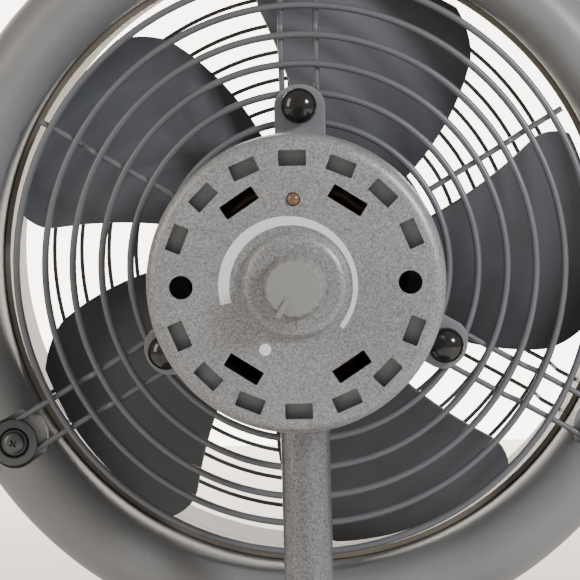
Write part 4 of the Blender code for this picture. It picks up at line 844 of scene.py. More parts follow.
@dataclass
class Stand:
    """Round base on rubber feet, socket flange, short post and the lower half of the tilt joint."""

    rim_fillet: float = 4.0 * MM
    flange_thickness: float = 6.0 * MM
    socket_wall: float = 5.0 * MM
    post_wall: float = 2.0 * MM
    ear: float = 7.0 * MM
    tongue: float = 14.0 * MM
    running_gap: float = 0.5 * MM
    reach: float = 24.0 * MM
    screw_circle: float = 27.0 * MM

    def build(self) -> Pieces:
        """Build every piece of the stand."""
        pieces = [self._base(), self._flange(), self._gland(), self._short_post(), self._fork(), self._bolt()]
        return pieces + self._feet() + self._screws()

    def _base(self) -> bpy.types.Object:
        """Spun steel disc with a rounded upper rim and a shallow rolled step."""
        low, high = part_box("base_plate")
        radius = half_width("base_plate")
        thickness = high.z - low.z
        step = 0.8 * MM
        profile = [(0.0, 0.0), (radius, 0.0), (radius, thickness - step),
                   (radius - 9.0 * MM, thickness - step),
                   (radius - 10.0 * MM, thickness), (0.0, thickness)]
        shape = turned(profile, 160, {1: 1.5 * MM, 2: self.rim_fillet, 3: 0.6 * MM, 4: 0.6 * MM})
        return add_piece("base_disc", shape, upright(low.z), Body.STAND, STAND_POWDER, ["base_plate"])

    def _feet(self) -> Pieces:
        """Moulded rubber feet with a chamfered tread."""
        made = []
        for index in range(1, 5):
            low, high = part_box(f"foot_{index}")
            radius = (high.x - low.x) / 2.0
            height = high.z - low.z
            profile = [(0.0, 0.0), (radius - 1.5 * MM, 0.0), (radius, 1.5 * MM), (radius - 1.0 * MM, height),
                       (0.0, height)]
            centre = (low + high) / 2.0
            shape = turned(profile, 48, {1: 0.5 * MM, 2: 0.8 * MM, 3: 0.8 * MM})
            made.append(add_piece(
                f"rubber_foot_{index}", shape, upright(low.z, centre.x, centre.y), Body.STAND, FOOT_RUBBER,
                [f"foot_{index}"],
            ))
        return made

    def _flange(self) -> bpy.types.Object:
        """Flanged socket with a filleted neck, bored for the gland."""
        low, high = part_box("base_flange")
        radius = half_width("base_flange")
        socket = half_width("lower_post") + SEAT_GAP
        outer = socket + self.socket_wall
        top = high.z - low.z
        profile = [(socket, 0.0), (radius, 0.0), (radius, self.flange_thickness),
                   (outer, self.flange_thickness),
                   (outer, top), (socket, top)]
        shape = turned(profile, 96, {2: 1.6 * MM, 3: 3.0 * MM, 4: 1.4 * MM, 5: 0.6 * MM})
        gland_low, gland_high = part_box("cable_gland")
        height = (gland_low.z + gland_high.z) / 2.0 - low.z
        bore = rod(3.9 * MM, 0.0, radius, 32)
        bore.transform(Matrix.Translation((0.0, 0.0, height)) @ Matrix.Rotation(math.radians(90.0), 4, "X"))
        shape = combine(shape, bore, Operation.CUT)
        return add_piece("socket_flange", shape, upright(low.z), Body.STAND, STAND_POWDER, ["base_flange"])

    def _gland(self) -> bpy.types.Object:
        """Cable gland: hexagon body against the socket and a fluted cap with a round mouth."""
        low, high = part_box("cable_gland")
        radius = (high.z - low.z) / 2.0
        length = high.y - low.y
        bore = 3.6 * MM
        cap_end = length * 0.6
        profile = [(bore, 0.0), (radius * 0.93, 0.0), (radius * 0.93, cap_end), (radius * 0.8, cap_end),
                   (radius * 0.8, length), (bore, length)]
        shape = turned(profile, 72, {0: 0.8 * MM, 1: 1.8 * MM, 2: 0.4 * MM})
        flutes = []
        for index in range(12):
            spot = clock(radius * 1.02, 30.0 * index)
            flutes.append(rod(0.9 * MM, 2.2 * MM, cap_end + 1.0 * MM, 12, spot))
        shape = combine(shape, gather(flutes), Operation.CUT)
        body = combine(rod(radius, cap_end + 0.6 * MM, length, 6), rod(bore, 0.0, length * 2.0, 48),
                       Operation.CUT)
        shape = combine(shape, soften(body, 0.3 * MM, 2), Operation.JOIN)
        centre_z = (low.z + high.z) / 2.0
        place = Matrix.Translation((0.0, low.y, centre_z)) @ Matrix.Rotation(math.radians(-90.0), 4, "X")
        return add_piece("gland_body", shape, place, Body.STAND, GRIP_NYLON, ["cable_gland"])

    def _screws(self) -> Pieces:
        """Screws that hold the flange."""
        made = []
        for index in range(1, 4):
            low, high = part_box(f"flange_screw_{index}")
            centre = (low + high) / 2.0
            screw = PanScrew()
            seat = high.z - screw.head_height
            made.append(add_piece(
                f"socket_screw_{index}", screw.shape(seat - low.z), upright(seat, centre.x, centre.y),
                Body.STAND,
                BLACK_OXIDE, [f"flange_screw_{index}"],
            ))
        return made

    def _short_post(self) -> bpy.types.Object:
        """Short tube between the flange and the fork."""
        low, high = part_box("lower_post")
        return add_piece(
            "short_post", tube(half_width("lower_post"), self.post_wall, high.z - low.z), upright(low.z),
            Body.STAND, POST_PAINT, ["lower_post"],
        )

    def _fork(self) -> bpy.types.Object:
        """Two-eared casting that caps the short post."""
        width = (self.tongue / 2.0 + self.running_gap + self.ear) * 2.0
        low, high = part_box("tilt_fork")
        radius = (high.y - low.y) / 2.0
        root = DATUM.pivot_z - low.z
        shape = knuckle(width, radius, root, False)
        soften(shape, 1.6 * MM, 4)
        gap = self.tongue + 2.0 * self.running_gap
        floor = radius + 3.0 * MM
        slot = block((gap, radius * 4.0, floor * 2.0), Matrix())
        soften(slot, 1.5 * MM, 3, where=lambda edge: max(vert.co.z for vert in edge.verts) < 0.0)
        shape = combine(shape, slot, Operation.CUT)
        shape = combine(shape, rod(half_width("lower_post") + SEAT_GAP, -root * 2.0, -self.reach, 64),
                        Operation.CUT)
        bore = rod(4.3 * MM, -width, width, 32)
        bore.transform(Matrix.Rotation(math.radians(90.0), 4, "Y"))
        shape = combine(shape, bore, Operation.CUT)
        return add_piece("fork_casting", shape, upright(DATUM.pivot_z), Body.STAND, CAST_POWDER,
                         ["tilt_fork"])

    def _bolt(self) -> bpy.types.Object:
        """Button-head bolt through the tilt joint, with a hexagon socket."""
        low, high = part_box("pivot_bolt")
        radius = (high.z - low.z) / 2.0
        length = high.x - low.x
        head = 5.0 * MM
        profile = [(0.0, 0.0), (radius * 0.7, 0.0), (radius, head * 0.62), (radius, head), (4.0 * MM, head),
                   (4.0 * MM, length), (0.0, length)]
        shape = turned(profile, 64, {1: 1.6 * MM, 2: 1.2 * MM, 3: 0.3 * MM, 5: 0.6 * MM})
        shape = combine(shape, rod(2.9 * MM, -2.0 * MM, 2.6 * MM, 6), Operation.CUT)
        place = across(DATUM.pivot_z) @ Matrix.Translation((0.0, 0.0, low.x))
        return add_piece("tilt_bolt", shape, place, Body.STAND, BLACK_OXIDE, ["pivot_bolt"])


def tube(radius: float, wall: float, length: float) -> BMesh:
    """Return a round tube with softened ends.

    Args:
        radius: outer radius.
        wall: wall thickness.
        length: length along local Z.

    Returns:
        The tube, standing on local zero.
    """
    inner = radius - wall
    profile = [(inner, 0.0), (radius, 0.0), (radius, length), (inner, length)]
    return turned(profile, 96, {0: 0.3 * MM, 1: 0.3 * MM, 2: 0.3 * MM, 3: 0.3 * MM})


def knuckle(width: float, radius: float, root: float, upwards: bool) -> BMesh:
    """Return a joint knuckle across X: a round eye at zero with a straight root.

    Args:
        width: its size across X.
        radius: the eye's radius.
        root: how far the root reaches from the eye's centre.
        upwards: whether the root stands above the eye, not below it.

    Returns:
        The knuckle.
    """
    outline = [(-radius, -root), (radius, -root)] + arc((0.0, 0.0), (radius, radius), 0.0, 180.0, 32)
    bm = slab(outline, width, -width / 2.0)
    rise = -1.0 if upwards else 1.0
    bm.transform(Matrix(((0.0, 0.0, 1.0), (1.0, 0.0, 0.0), (0.0, rise, 0.0))).to_4x4())
    bmesh.ops.recalc_face_normals(bm, faces=bm.faces)
    return bm


@dataclass
class ClampKnob:
    """Lobed hand knob that tightens the tilt joint."""

    lobes: int = 6
    lobe_depth: float = 3.0 * MM
    edge: float = 2.6 * MM
    dish: float = 1.2 * MM

    def build(self) -> Pieces:
        """Build the knob."""
        low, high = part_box("clamp_knob")
        radius = (high.z - low.z) / 2.0
        height = high.x - low.x
        shape = lobed_disc(radius, self.lobe_depth, self.lobes, 16, height)
        soften(shape, self.edge, 5, where=lambda edge: min(vert.co.z for vert in edge.verts) > height * 0.9)
        soften(shape, 0.8 * MM, 2, where=lambda edge: max(vert.co.z for vert in edge.verts) < height * 0.05)
        dish = turned([(0.0, height - self.dish), (radius * 0.45, height - self.dish),
                       (radius * 0.52, height * 1.5),
                       (0.0, height * 1.5)], 64, {1: 0.5 * MM})
        shape = combine(shape, dish, Operation.CUT)
        shape = combine(shape, rod(4.3 * MM, -height, height * 0.6, 32), Operation.CUT)
        place = across(DATUM.pivot_z) @ Matrix.Translation((0.0, 0.0, low.x))
        return [add_piece("hand_knob", shape, place, Body.CLAMP, GRIP_NYLON, ["clamp_knob"])]


def lobed_disc(radius: float, depth: float, lobes: int, points: int, height: float) -> BMesh:
    """Return a disc whose edge waves in and out.

    Args:
        radius: radius at the crests.
        depth: depth of the hollows.
        lobes: how many crests.
        points: facets per crest.
        height: thickness above local zero.

    Returns:
        The disc.
    """
    bm = bmesh.new()
    bmesh.ops.create_circle(bm, cap_ends=True, radius=radius, segments=lobes * points)
    for vert in bm.verts:
        angle = math.atan2(vert.co.y, vert.co.x)
        edge = radius - depth * (0.5 - 0.5 * math.cos(lobes * angle))
        vert.co.xy = vert.co.xy.normalized() * edge
    lifted = bmesh.ops.extrude_face_region(bm, geom=bm.faces[:])["geom"]
    top = [item for item in lifted if isinstance(item, BMVert)]
    bmesh.ops.translate(bm, verts=top, vec=(0.0, 0.0, height))
    bmesh.ops.recalc_face_normals(bm, faces=bm.faces)
    return bm


# ---------------------------------------------------------------- post and motor

@dataclass
class Post:
    """Upper half of the tilt joint, main post and the saddle under the can."""

    post_wall: float = 2.0 * MM
    reach: float = 24.0 * MM
    collar_wall: float = 3.5 * MM
    saddle_width: float = 34.0 * MM

    def build(self) -> Pieces:
        """Build every piece of the post."""
        return [self._tongue(), self._post(), self._saddle()]

    def _tongue(self) -> bpy.types.Object:
        """Eye between the ears, with a round collar for the post."""
        low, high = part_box("tilt_tongue")
        radius = half_width("post_tube")
        eye = DATUM.pivot_z - low.z
        thickness = 14.0 * MM
        blade = soften(knuckle(thickness, eye, self.reach, True), 1.2 * MM, 3)
        end = high.z - DATUM.pivot_z
        outer = radius + SEAT_GAP + self.collar_wall
        profile = [(0.0, self.reach - 3.0 * MM), (outer, self.reach - 3.0 * MM), (outer, end), (0.0, end)]
        collar = turned(profile, 96, {1: 1.5 * MM, 2: 1.2 * MM})
        shape = combine(blade, collar, Operation.JOIN)
        shape = combine(shape, rod(radius + SEAT_GAP, self.reach, end * 2.0, 96), Operation.CUT)
        bore = rod(4.3 * MM, -eye * 2.0, eye * 2.0, 32)
        bore.transform(Matrix.Rotation(math.radians(90.0), 4, "Y"))
        shape = combine(shape, bore, Operation.CUT)
        return add_piece("tongue_casting", shape, upright(DATUM.pivot_z), Body.HEAD, CAST_POWDER,
                         ["tilt_tongue"])

    def _post(self) -> bpy.types.Object:
        """Painted tube up into the can."""
        low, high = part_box("post_tube")
        shape = tube(half_width("post_tube"), self.post_wall, high.z - low.z)
        return add_piece("main_post", shape, upright(low.z), Body.HEAD, POST_PAINT, ["post_tube"])

    def _saddle(self) -> bpy.types.Object:
        """Curved plate between the can and the post."""
        low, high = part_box("post_saddle")
        inner = half_width("motor_cover") - MotorCan.shell_inset + SEAT_GAP
        outer = DATUM.axis_z - low.z
        half = math.degrees(math.asin(self.saddle_width / 2.0 / inner))
        steps = 24
        outline = [clock(outer, 180.0 - half + 2.0 * half * index / steps) for index in range(steps + 1)]
        outline += [clock(inner, 180.0 + half - 2.0 * half * index / steps) for index in range(steps + 1)]
        shape = slab(outline, high.y - low.y)
        hole = rod(half_width("post_tube") + SEAT_GAP, -outer * 2.0, 0.0, 64)
        middle = (high.y - low.y) / 2.0
        hole.transform(Matrix.Translation((0.0, 0.0, middle)) @ Matrix.Rotation(math.radians(90.0), 4, "X"))
        shape = soften(combine(shape, flipped(hole), Operation.CUT), 0.7 * MM, 2, 50.0)
        return add_piece("can_saddle", shape, DATUM.axial(low.y), Body.HEAD, STAND_POWDER, ["post_saddle"])


def flipped(bm: BMesh) -> BMesh:
    """Mirror a shape end for end across local Y and point its faces outwards.

    Args:
        bm: the shape.

    Returns:
        The same shape.
    """
    bmesh.ops.scale(bm, vec=(1.0, -1.0, 1.0), verts=bm.verts)
    bmesh.ops.recalc_face_normals(bm, faces=bm.faces)
    return bm


@dataclass
class MotorCan:
    """Pressed steel can with a vented face, its dial print, lamp and end bell, and the motor inside."""

    wall: float = 2.0 * MM
    edge: float = 5.0 * MM
    drum_length: float = 20.0 * MM
    shell_inset: float = 3.5 * MM
    bell_inset: float = 1.6 * MM
    boss_radius: float = 21.7 * MM
    boss_height: float = 5.0 * MM
    boss_fillet: float = 4.2 * MM
    vent_count: int = 16
    vent_from_edge: float = 9.4 * MM
    vent_size: tuple[float, float] = (11.2 * MM, 6.4 * MM)
    inner_vent_from_edge: float = 20.5 * MM
    inner_vent_angle: float = 33.0
    inner_vent_size: tuple[float, float] = (15.6 * MM, 6.0 * MM)
    side_hole_from_edge: float = 14.3 * MM
    side_hole_radius: float = 4.8 * MM
    corner: float = 0.5 * MM
    spindle: float = 3.3 * MM
    bell_opening: float = 19.5 * MM
    bell_spigot: float = 6.0 * MM
    bearing_seat: float = 13.4 * MM
    bearing_depth: float = 8.6 * MM
    shaft_hole: float = 5.6 * MM
    coil_half: float = 6.0 * MM
    coil_dip: float = 0.022
    slots: float = 24.0
    film: float = 0.04 * MM
    dial_radii: tuple[float, float] = (28.1 * MM, 24.9 * MM)
    dial_span: tuple[float, float] = (-104.0, 134.0)
    dot_radius: float = 2.4 * MM
    dot_spot: tuple[float, float] = (-12.9 * MM, 25.8 * MM)

    def build(self) -> Pieces:
        """Build the can and all that it holds."""
        pieces = [self._can(), self._bell(), self._lamp(), self._dial()]
        pieces += self._coils()
        for node, finish in (
            ("stator_core", CORE_STEEL), ("front_bearing", TURNED_STEEL), ("rear_bearing", TURNED_STEEL),
            ("rear_bracket", CAST_ALUMINIUM), ("control_board", BOARD_MASK), ("potentiometer", TURNED_STEEL),
        ):
            dress(node, finish)
        return pieces

    def _vent(self, circle: float, degrees: float, size: tuple[float, float], depth: float) -> BMesh:
        """Return the cutter of one vent with rounded corners.

        Args:
            circle: radius of the vent's centre.
            degrees: its clock angle.
            size: its length along the circle and its width.
            depth: the cutter's whole depth.

        Returns:
            The cutter.
        """
        x, y = clock(circle, degrees)
        place = Matrix.Translation((x, y, 0.0)) @ Matrix.Rotation(math.radians(degrees), 4, "Z")
        cutter = block((size[0], size[1], depth), Matrix())
        upright_edges = [
            edge for edge in cutter.edges if abs(edge.verts[0].co.z - edge.verts[1].co.z) > depth * 0.5
        ]
        bmesh.ops.bevel(
            cutter, geom=upright_edges, offset=self.corner, segments=3, profile=0.5, affect="EDGES",
            material=-1,
        )
        cutter.transform(place)
        return cutter

    def _openings(self, radius: float) -> BMesh:
        """Return every cutter of the face.

        Args:
            radius: the drum's radius.

        Returns:
            The cutters in one mesh.
        """
        depth = (self.wall + self.boss_height) * 2.0
        cutters = []
        quarter = self.vent_count // 4
        for index in range(self.vent_count):
            degrees = 360.0 * index / self.vent_count
            if index in (quarter, 3 * quarter):
                spot = clock(radius - self.side_hole_from_edge, degrees)
                cutters.append(rod(self.side_hole_radius, -depth, depth, 48, spot))
            else:
                cutters.append(self._vent(radius - self.vent_from_edge, degrees, self.vent_size, depth))
        for start in (0.0, 180.0):
            for side in (-1.0, 1.0):
                degrees = start + side * self.inner_vent_angle
                cutters.append(self._vent(radius - self.inner_vent_from_edge, degrees, self.inner_vent_size,
                                          depth))
        lamp_low, lamp_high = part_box("lamp")
        lamp_radius = (lamp_high.x - lamp_low.x) / 2.0
        lamp_spot = (0.0, DATUM.axis_z - (lamp_low.z + lamp_high.z) / 2.0)
        cutters.append(rod(lamp_radius + SEAT_GAP, -depth, depth, 32, lamp_spot))
        return gather(cutters)

    def _can(self) -> bpy.types.Object:
        """Deep-drawn cup: face with a boss, rounded edge, short drum and slimmer shell."""
        low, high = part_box("motor_cover")
        radius = half_width("motor_cover")
        length = high.y - low.y - self.boss_height
        wall = self.wall
        floor = wall - self.boss_height
        shell = radius - self.shell_inset
        step = self.drum_length - wall
        profile = [
            (self.spindle, -self.boss_height), (self.boss_radius, -self.boss_height), (self.boss_radius, 0.0),
            (radius, 0.0), (radius, self.drum_length), (shell, self.drum_length), (shell, length),
            (shell - wall, length), (shell - wall, step), (radius - wall, step), (radius - wall, wall),
            (self.boss_radius - wall, wall), (self.boss_radius - wall, floor), (self.spindle, floor),
        ]
        fillets = {0: 0.3 * MM, 1: self.boss_fillet, 2: 0.35 * MM, 3: self.edge, 4: 1.2 * MM, 6: 0.4 * MM,
                   10: self.edge - wall}
        shape = turned(profile, 160, fillets)
        shape = combine(shape, self._openings(radius), Operation.CUT)
        soften(shape, 0.22 * MM, 2, 60.0, lambda edge: self._on_face(edge, radius))
        hole = rod(half_width("post_tube") + SEAT_GAP, radius * 0.5, radius * 1.5, 64)
        lie_down = Matrix.Rotation(math.radians(-90.0), 4, "X")
        hole.transform(Matrix.Translation((0.0, 0.0, -low.y - self.boss_height)) @ lie_down)
        shape = combine(shape, hole, Operation.CUT)
        return add_piece(
            "motor_can", shape, DATUM.axial(low.y + self.boss_height), Body.HEAD, CAN_PAINT, ["motor_cover"],
            32.0,
        )

    def _on_face(self, edge: BMEdge, radius: float) -> bool:
        """Tell whether an edge rims an opening on the outside of the face.

        Args:
            edge: an edge of the can.
            radius: the drum's radius.

        Returns:
            True for an edge to be softened.
        """
        middle = (edge.verts[0].co + edge.verts[1].co) / 2.0
        flat = abs(edge.verts[0].co.z - edge.verts[1].co.z) < 0.05 * MM
        distance = middle.xy.length
        beside_boss = self.boss_radius + 1.0 * MM < distance < radius - self.edge
        return flat and abs(middle.z) < 0.05 * MM and beside_boss

    def _bell(self) -> bpy.types.Object:
        """Die-cast end bell behind the can."""
        low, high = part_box("front_bell")
        radius = half_width("front_bell")
        spigot = radius + self.bell_inset - self.wall - SEAT_GAP
        step = self.bell_spigot
        thickness = high.y - low.y
        inner = spigot - 4.0 * MM
        seat = step + self.bearing_depth
        profile = [
            (self.bell_opening, step), (inner, step), (inner, 0.0), (spigot, 0.0), (spigot, step),
            (radius, step), (radius, thickness), (self.shaft_hole, thickness), (self.shaft_hole, seat),
            (self.bearing_seat, seat), (self.bearing_seat, step),
        ]
        shape = turned(profile, 128, {5: 0.6 * MM, 6: 0.9 * MM})
        return add_piece("end_bell", shape, DATUM.axial(low.y), Body.HEAD, CAST_ALUMINIUM, ["front_bell"])

    def _lamp(self) -> bpy.types.Object:
        """Domed indicator lamp on a straight round body."""
        low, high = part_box("lamp")
        radius = (high.x - low.x) / 2.0
        dome = 2.0 * MM
        length = high.y - low.y
        profile = [(0.0, length), (radius, length)] + arc((0.0, dome), (radius, dome), 0.0, -90.0, 12)
        profile[-1] = (0.0, 0.0)
        place = DATUM.axial(low.y) @ Matrix.Translation((0.0, DATUM.axis_z - (low.z + high.z) / 2.0, 0.0))
        return add_piece("lamp_lens", turned(profile, 48), place, Body.HEAD, LAMP_EPOXY, ["lamp"])

    def _dial(self) -> bpy.types.Object:
        """Printed crescent that thins clockwise round the knob, and the dot of the off position."""
        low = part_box("motor_cover")[0]
        film = self.film
        outer = DialCircle((-3.0 * MM, 0.3 * MM), self.dial_radii[0])
        inner = DialCircle((-1.8 * MM, 0.75 * MM), self.dial_radii[1])
        start, end = self.dial_span
        steps = 96
        outline = [outer.at(start + (end - start) * index / steps) for index in range(steps + 1)]
        outline += [inner.at(end + (start - end) * index / steps) for index in range(steps + 1)]
        crescent = slab(outline, film)
        dot = rod(self.dot_radius, 0.0, film, 48, self.dot_spot)
        place = DATUM.axial(low.y + self.boss_height - film - 0.01 * MM)
        return add_piece("dial_print", gather([crescent, dot]), place, Body.HEAD, DIAL_INK)

    def _coils(self) -> Pieces:
        """End turns of the stator winding, bundled slot by slot."""
        made = []
        for node, name in (("winding_rear", "coil_rear"), ("winding_front", "coil_front")):
            low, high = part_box(node)
            outer = half_width(node)
            length = high.y - low.y
            section = (self.coil_half, length / 2.0)
            ring = arc((outer - section[0], section[1]), section, 0.0, 345.0, 23)
            shape = turned(ring, 192)
            for vert in shape.verts:
                angle = math.atan2(vert.co.y, vert.co.x)
                swell = 1.0 - self.coil_dip * (0.5 - 0.5 * math.cos(self.slots * angle))
                vert.co.xy *= swell
            made.append(add_piece(name, shape, DATUM.axial(low.y), Body.HEAD, COIL_COPPER, [node], 60.0))
        return made


@dataclass(frozen=True)
class DialCircle:
    """One edge circle of the dial print, off the fan axis."""

    centre: tuple[float, float]
    radius: float

    def at(self, degrees: float) -> tuple[float, float]:
        """Return where a ray from the fan axis meets the circle.

        Args:
            degrees: the ray's clock angle.

        Returns:
            The point on the circle.
        """
        x, y = clock(1.0, degrees)
        along = x * self.centre[0] + y * self.centre[1]
        aside = self.centre[0] ** 2 + self.centre[1] ** 2 - self.radius ** 2
        reach = along + math.sqrt(along ** 2 - aside)
        return x * reach, y * reach


@dataclass
class SpeedKnob:
    """Fluted control knob with a pointer ridge."""

    flutes: int = 18
    flute_depth: float = 0.5 * MM
    taper: float = 0.87
    edge: float = 0.5 * MM
    pointer_angle: float = 211.0
    pointer_width: float = 2.2 * MM
    pointer_start: float = 5.0 * MM

    def build(self) -> Pieces:
        """Build the knob on the boss and dress its spindle."""
        low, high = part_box("speed_knob")
        radius = half_width("speed_knob")
        rise = 1.2 * MM
        height = high.y - low.y - rise
        shape = lobed_disc(radius, self.flute_depth, self.flutes, 12, height)
        for vert in shape.verts:
            if vert.co.z > height * 0.5:
                vert.co.xy *= self.taper
        soften(shape, self.edge, 3, where=lambda edge: min(vert.co.z for vert in edge.verts) > height * 0.9)
        end = radius + 0.4 * MM
        length = end - self.pointer_start
        ridge = block((self.pointer_width, length, height * 0.9 + rise), Matrix())
        soften(ridge, 0.5 * MM, 3)
        x, y = clock(self.pointer_start + length / 2.0, 360.0 - self.pointer_angle)
        turn = Matrix.Rotation(math.radians(360.0 - self.pointer_angle), 4, "Z")
        ridge.transform(Matrix.Translation((x, y, height * 0.55 + rise / 2.0)) @ turn)
        shape = combine(shape, ridge, Operation.JOIN)
        shape = combine(shape, rod(3.3 * MM, -height, height * 0.7, 32), Operation.CUT)
        face_away = Matrix.Rotation(math.radians(180.0), 4, "Y")
        place = DATUM.axial(high.y) @ face_away
        dress("speed_spindle", TURNED_STEEL)
        return [add_piece("speed_cap", shape, place, Body.CONTROL, KNOB_ABS, ["speed_knob"], 30.0)]


# ---------------------------------------------------------------- plate and guards

@dataclass
class LugPlate:
    """Three-lug plate behind the motor, its domed bolts and their nuts."""

    disc_radius: float = 54.0 * MM
    lug_half: float = 10.7 * MM
    lug_circle: float = 68.2 * MM
    lug_end: float = 9.0 * MM
    centre_hole: float = 13.0 * MM
    dome_height: float = 10.0 * MM
    stud_radius: float = 2.5 * MM
    nut_radius: float = 4.6 * MM

    def build(self) -> Pieces:
        """Build the plate and its fasteners."""
        pieces = [self._plate()]
        for index, degrees in enumerate(THIRDS):
            pieces += [self._dome(index + 1, degrees), self._nut(index + 1, degrees)]
        return pieces

    def _plate(self) -> bpy.types.Object:
        """Laser-cut plate with a softened edge."""
        low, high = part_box("mounting_plate")
        lean = math.degrees(math.asin(self.lug_half / self.disc_radius))
        outline: Outline = []
        for degrees in THIRDS:
            tip = arc((0.0, 0.0), (self.lug_half, self.lug_end), 180.0, 0.0, 24)
            turn = math.radians(degrees)
            for x, out in tip:
                along = self.lug_circle + out
                outline.append((along * math.sin(turn) + x * math.cos(turn),
                                -along * math.cos(turn) + x * math.sin(turn)))
            for step in range(33):
                outline.append(clock(self.disc_radius, degrees + lean + (120.0 - 2.0 * lean) * step / 32.0))
        shape = slab(outline, high.y - low.y)
        soften(shape, 0.45 * MM, 2, 60.0)
        shape = combine(shape, rod(self.centre_hole, -0.01, 0.01, 64), Operation.CUT)
        return add_piece("three_lug_plate", shape, DATUM.axial(low.y), Body.HEAD, PLATE_PAINT,
                         ["mounting_plate"])

    def _dome(self, index: int, degrees: float) -> bpy.types.Object:
        """Gloss black dome-headed bolt."""
        low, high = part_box(f"dome_bolt_{index}")
        radius = (high.x - low.x) / 2.0
        length = high.y - low.y
        height = self.dome_height
        ball = arc((0.0, height * 0.62), (radius, height * 0.62), -90.0, 0.0, 24)
        profile = [(0.0, 0.0)] + ball[1:] + [(radius * 0.96, height * 0.85), (radius * 0.84, height)]
        profile += [(self.stud_radius, height), (self.stud_radius, length), (0.0, length)]
        place = DATUM.off_axis(self.lug_circle, degrees, low.y)
        node = f"dome_bolt_{index}"
        return add_piece(f"acorn_bolt_{index}", turned(profile, 64), place, Body.HEAD, DOME_ENAMEL, [node],
                         50.0)

    def _nut(self, index: int, degrees: float) -> bpy.types.Object:
        """Hexagon nut behind the guard's loop."""
        low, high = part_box(f"lug_nut_{index}")
        shape = hex_nut(self.nut_radius, high.y - low.y, self.stud_radius + 0.1 * MM)
        place = DATUM.off_axis(self.lug_circle, degrees, low.y)
        return add_piece(f"rod_nut_{index}", shape, place, Body.HEAD, BLACK_OXIDE, [f"lug_nut_{index}"])


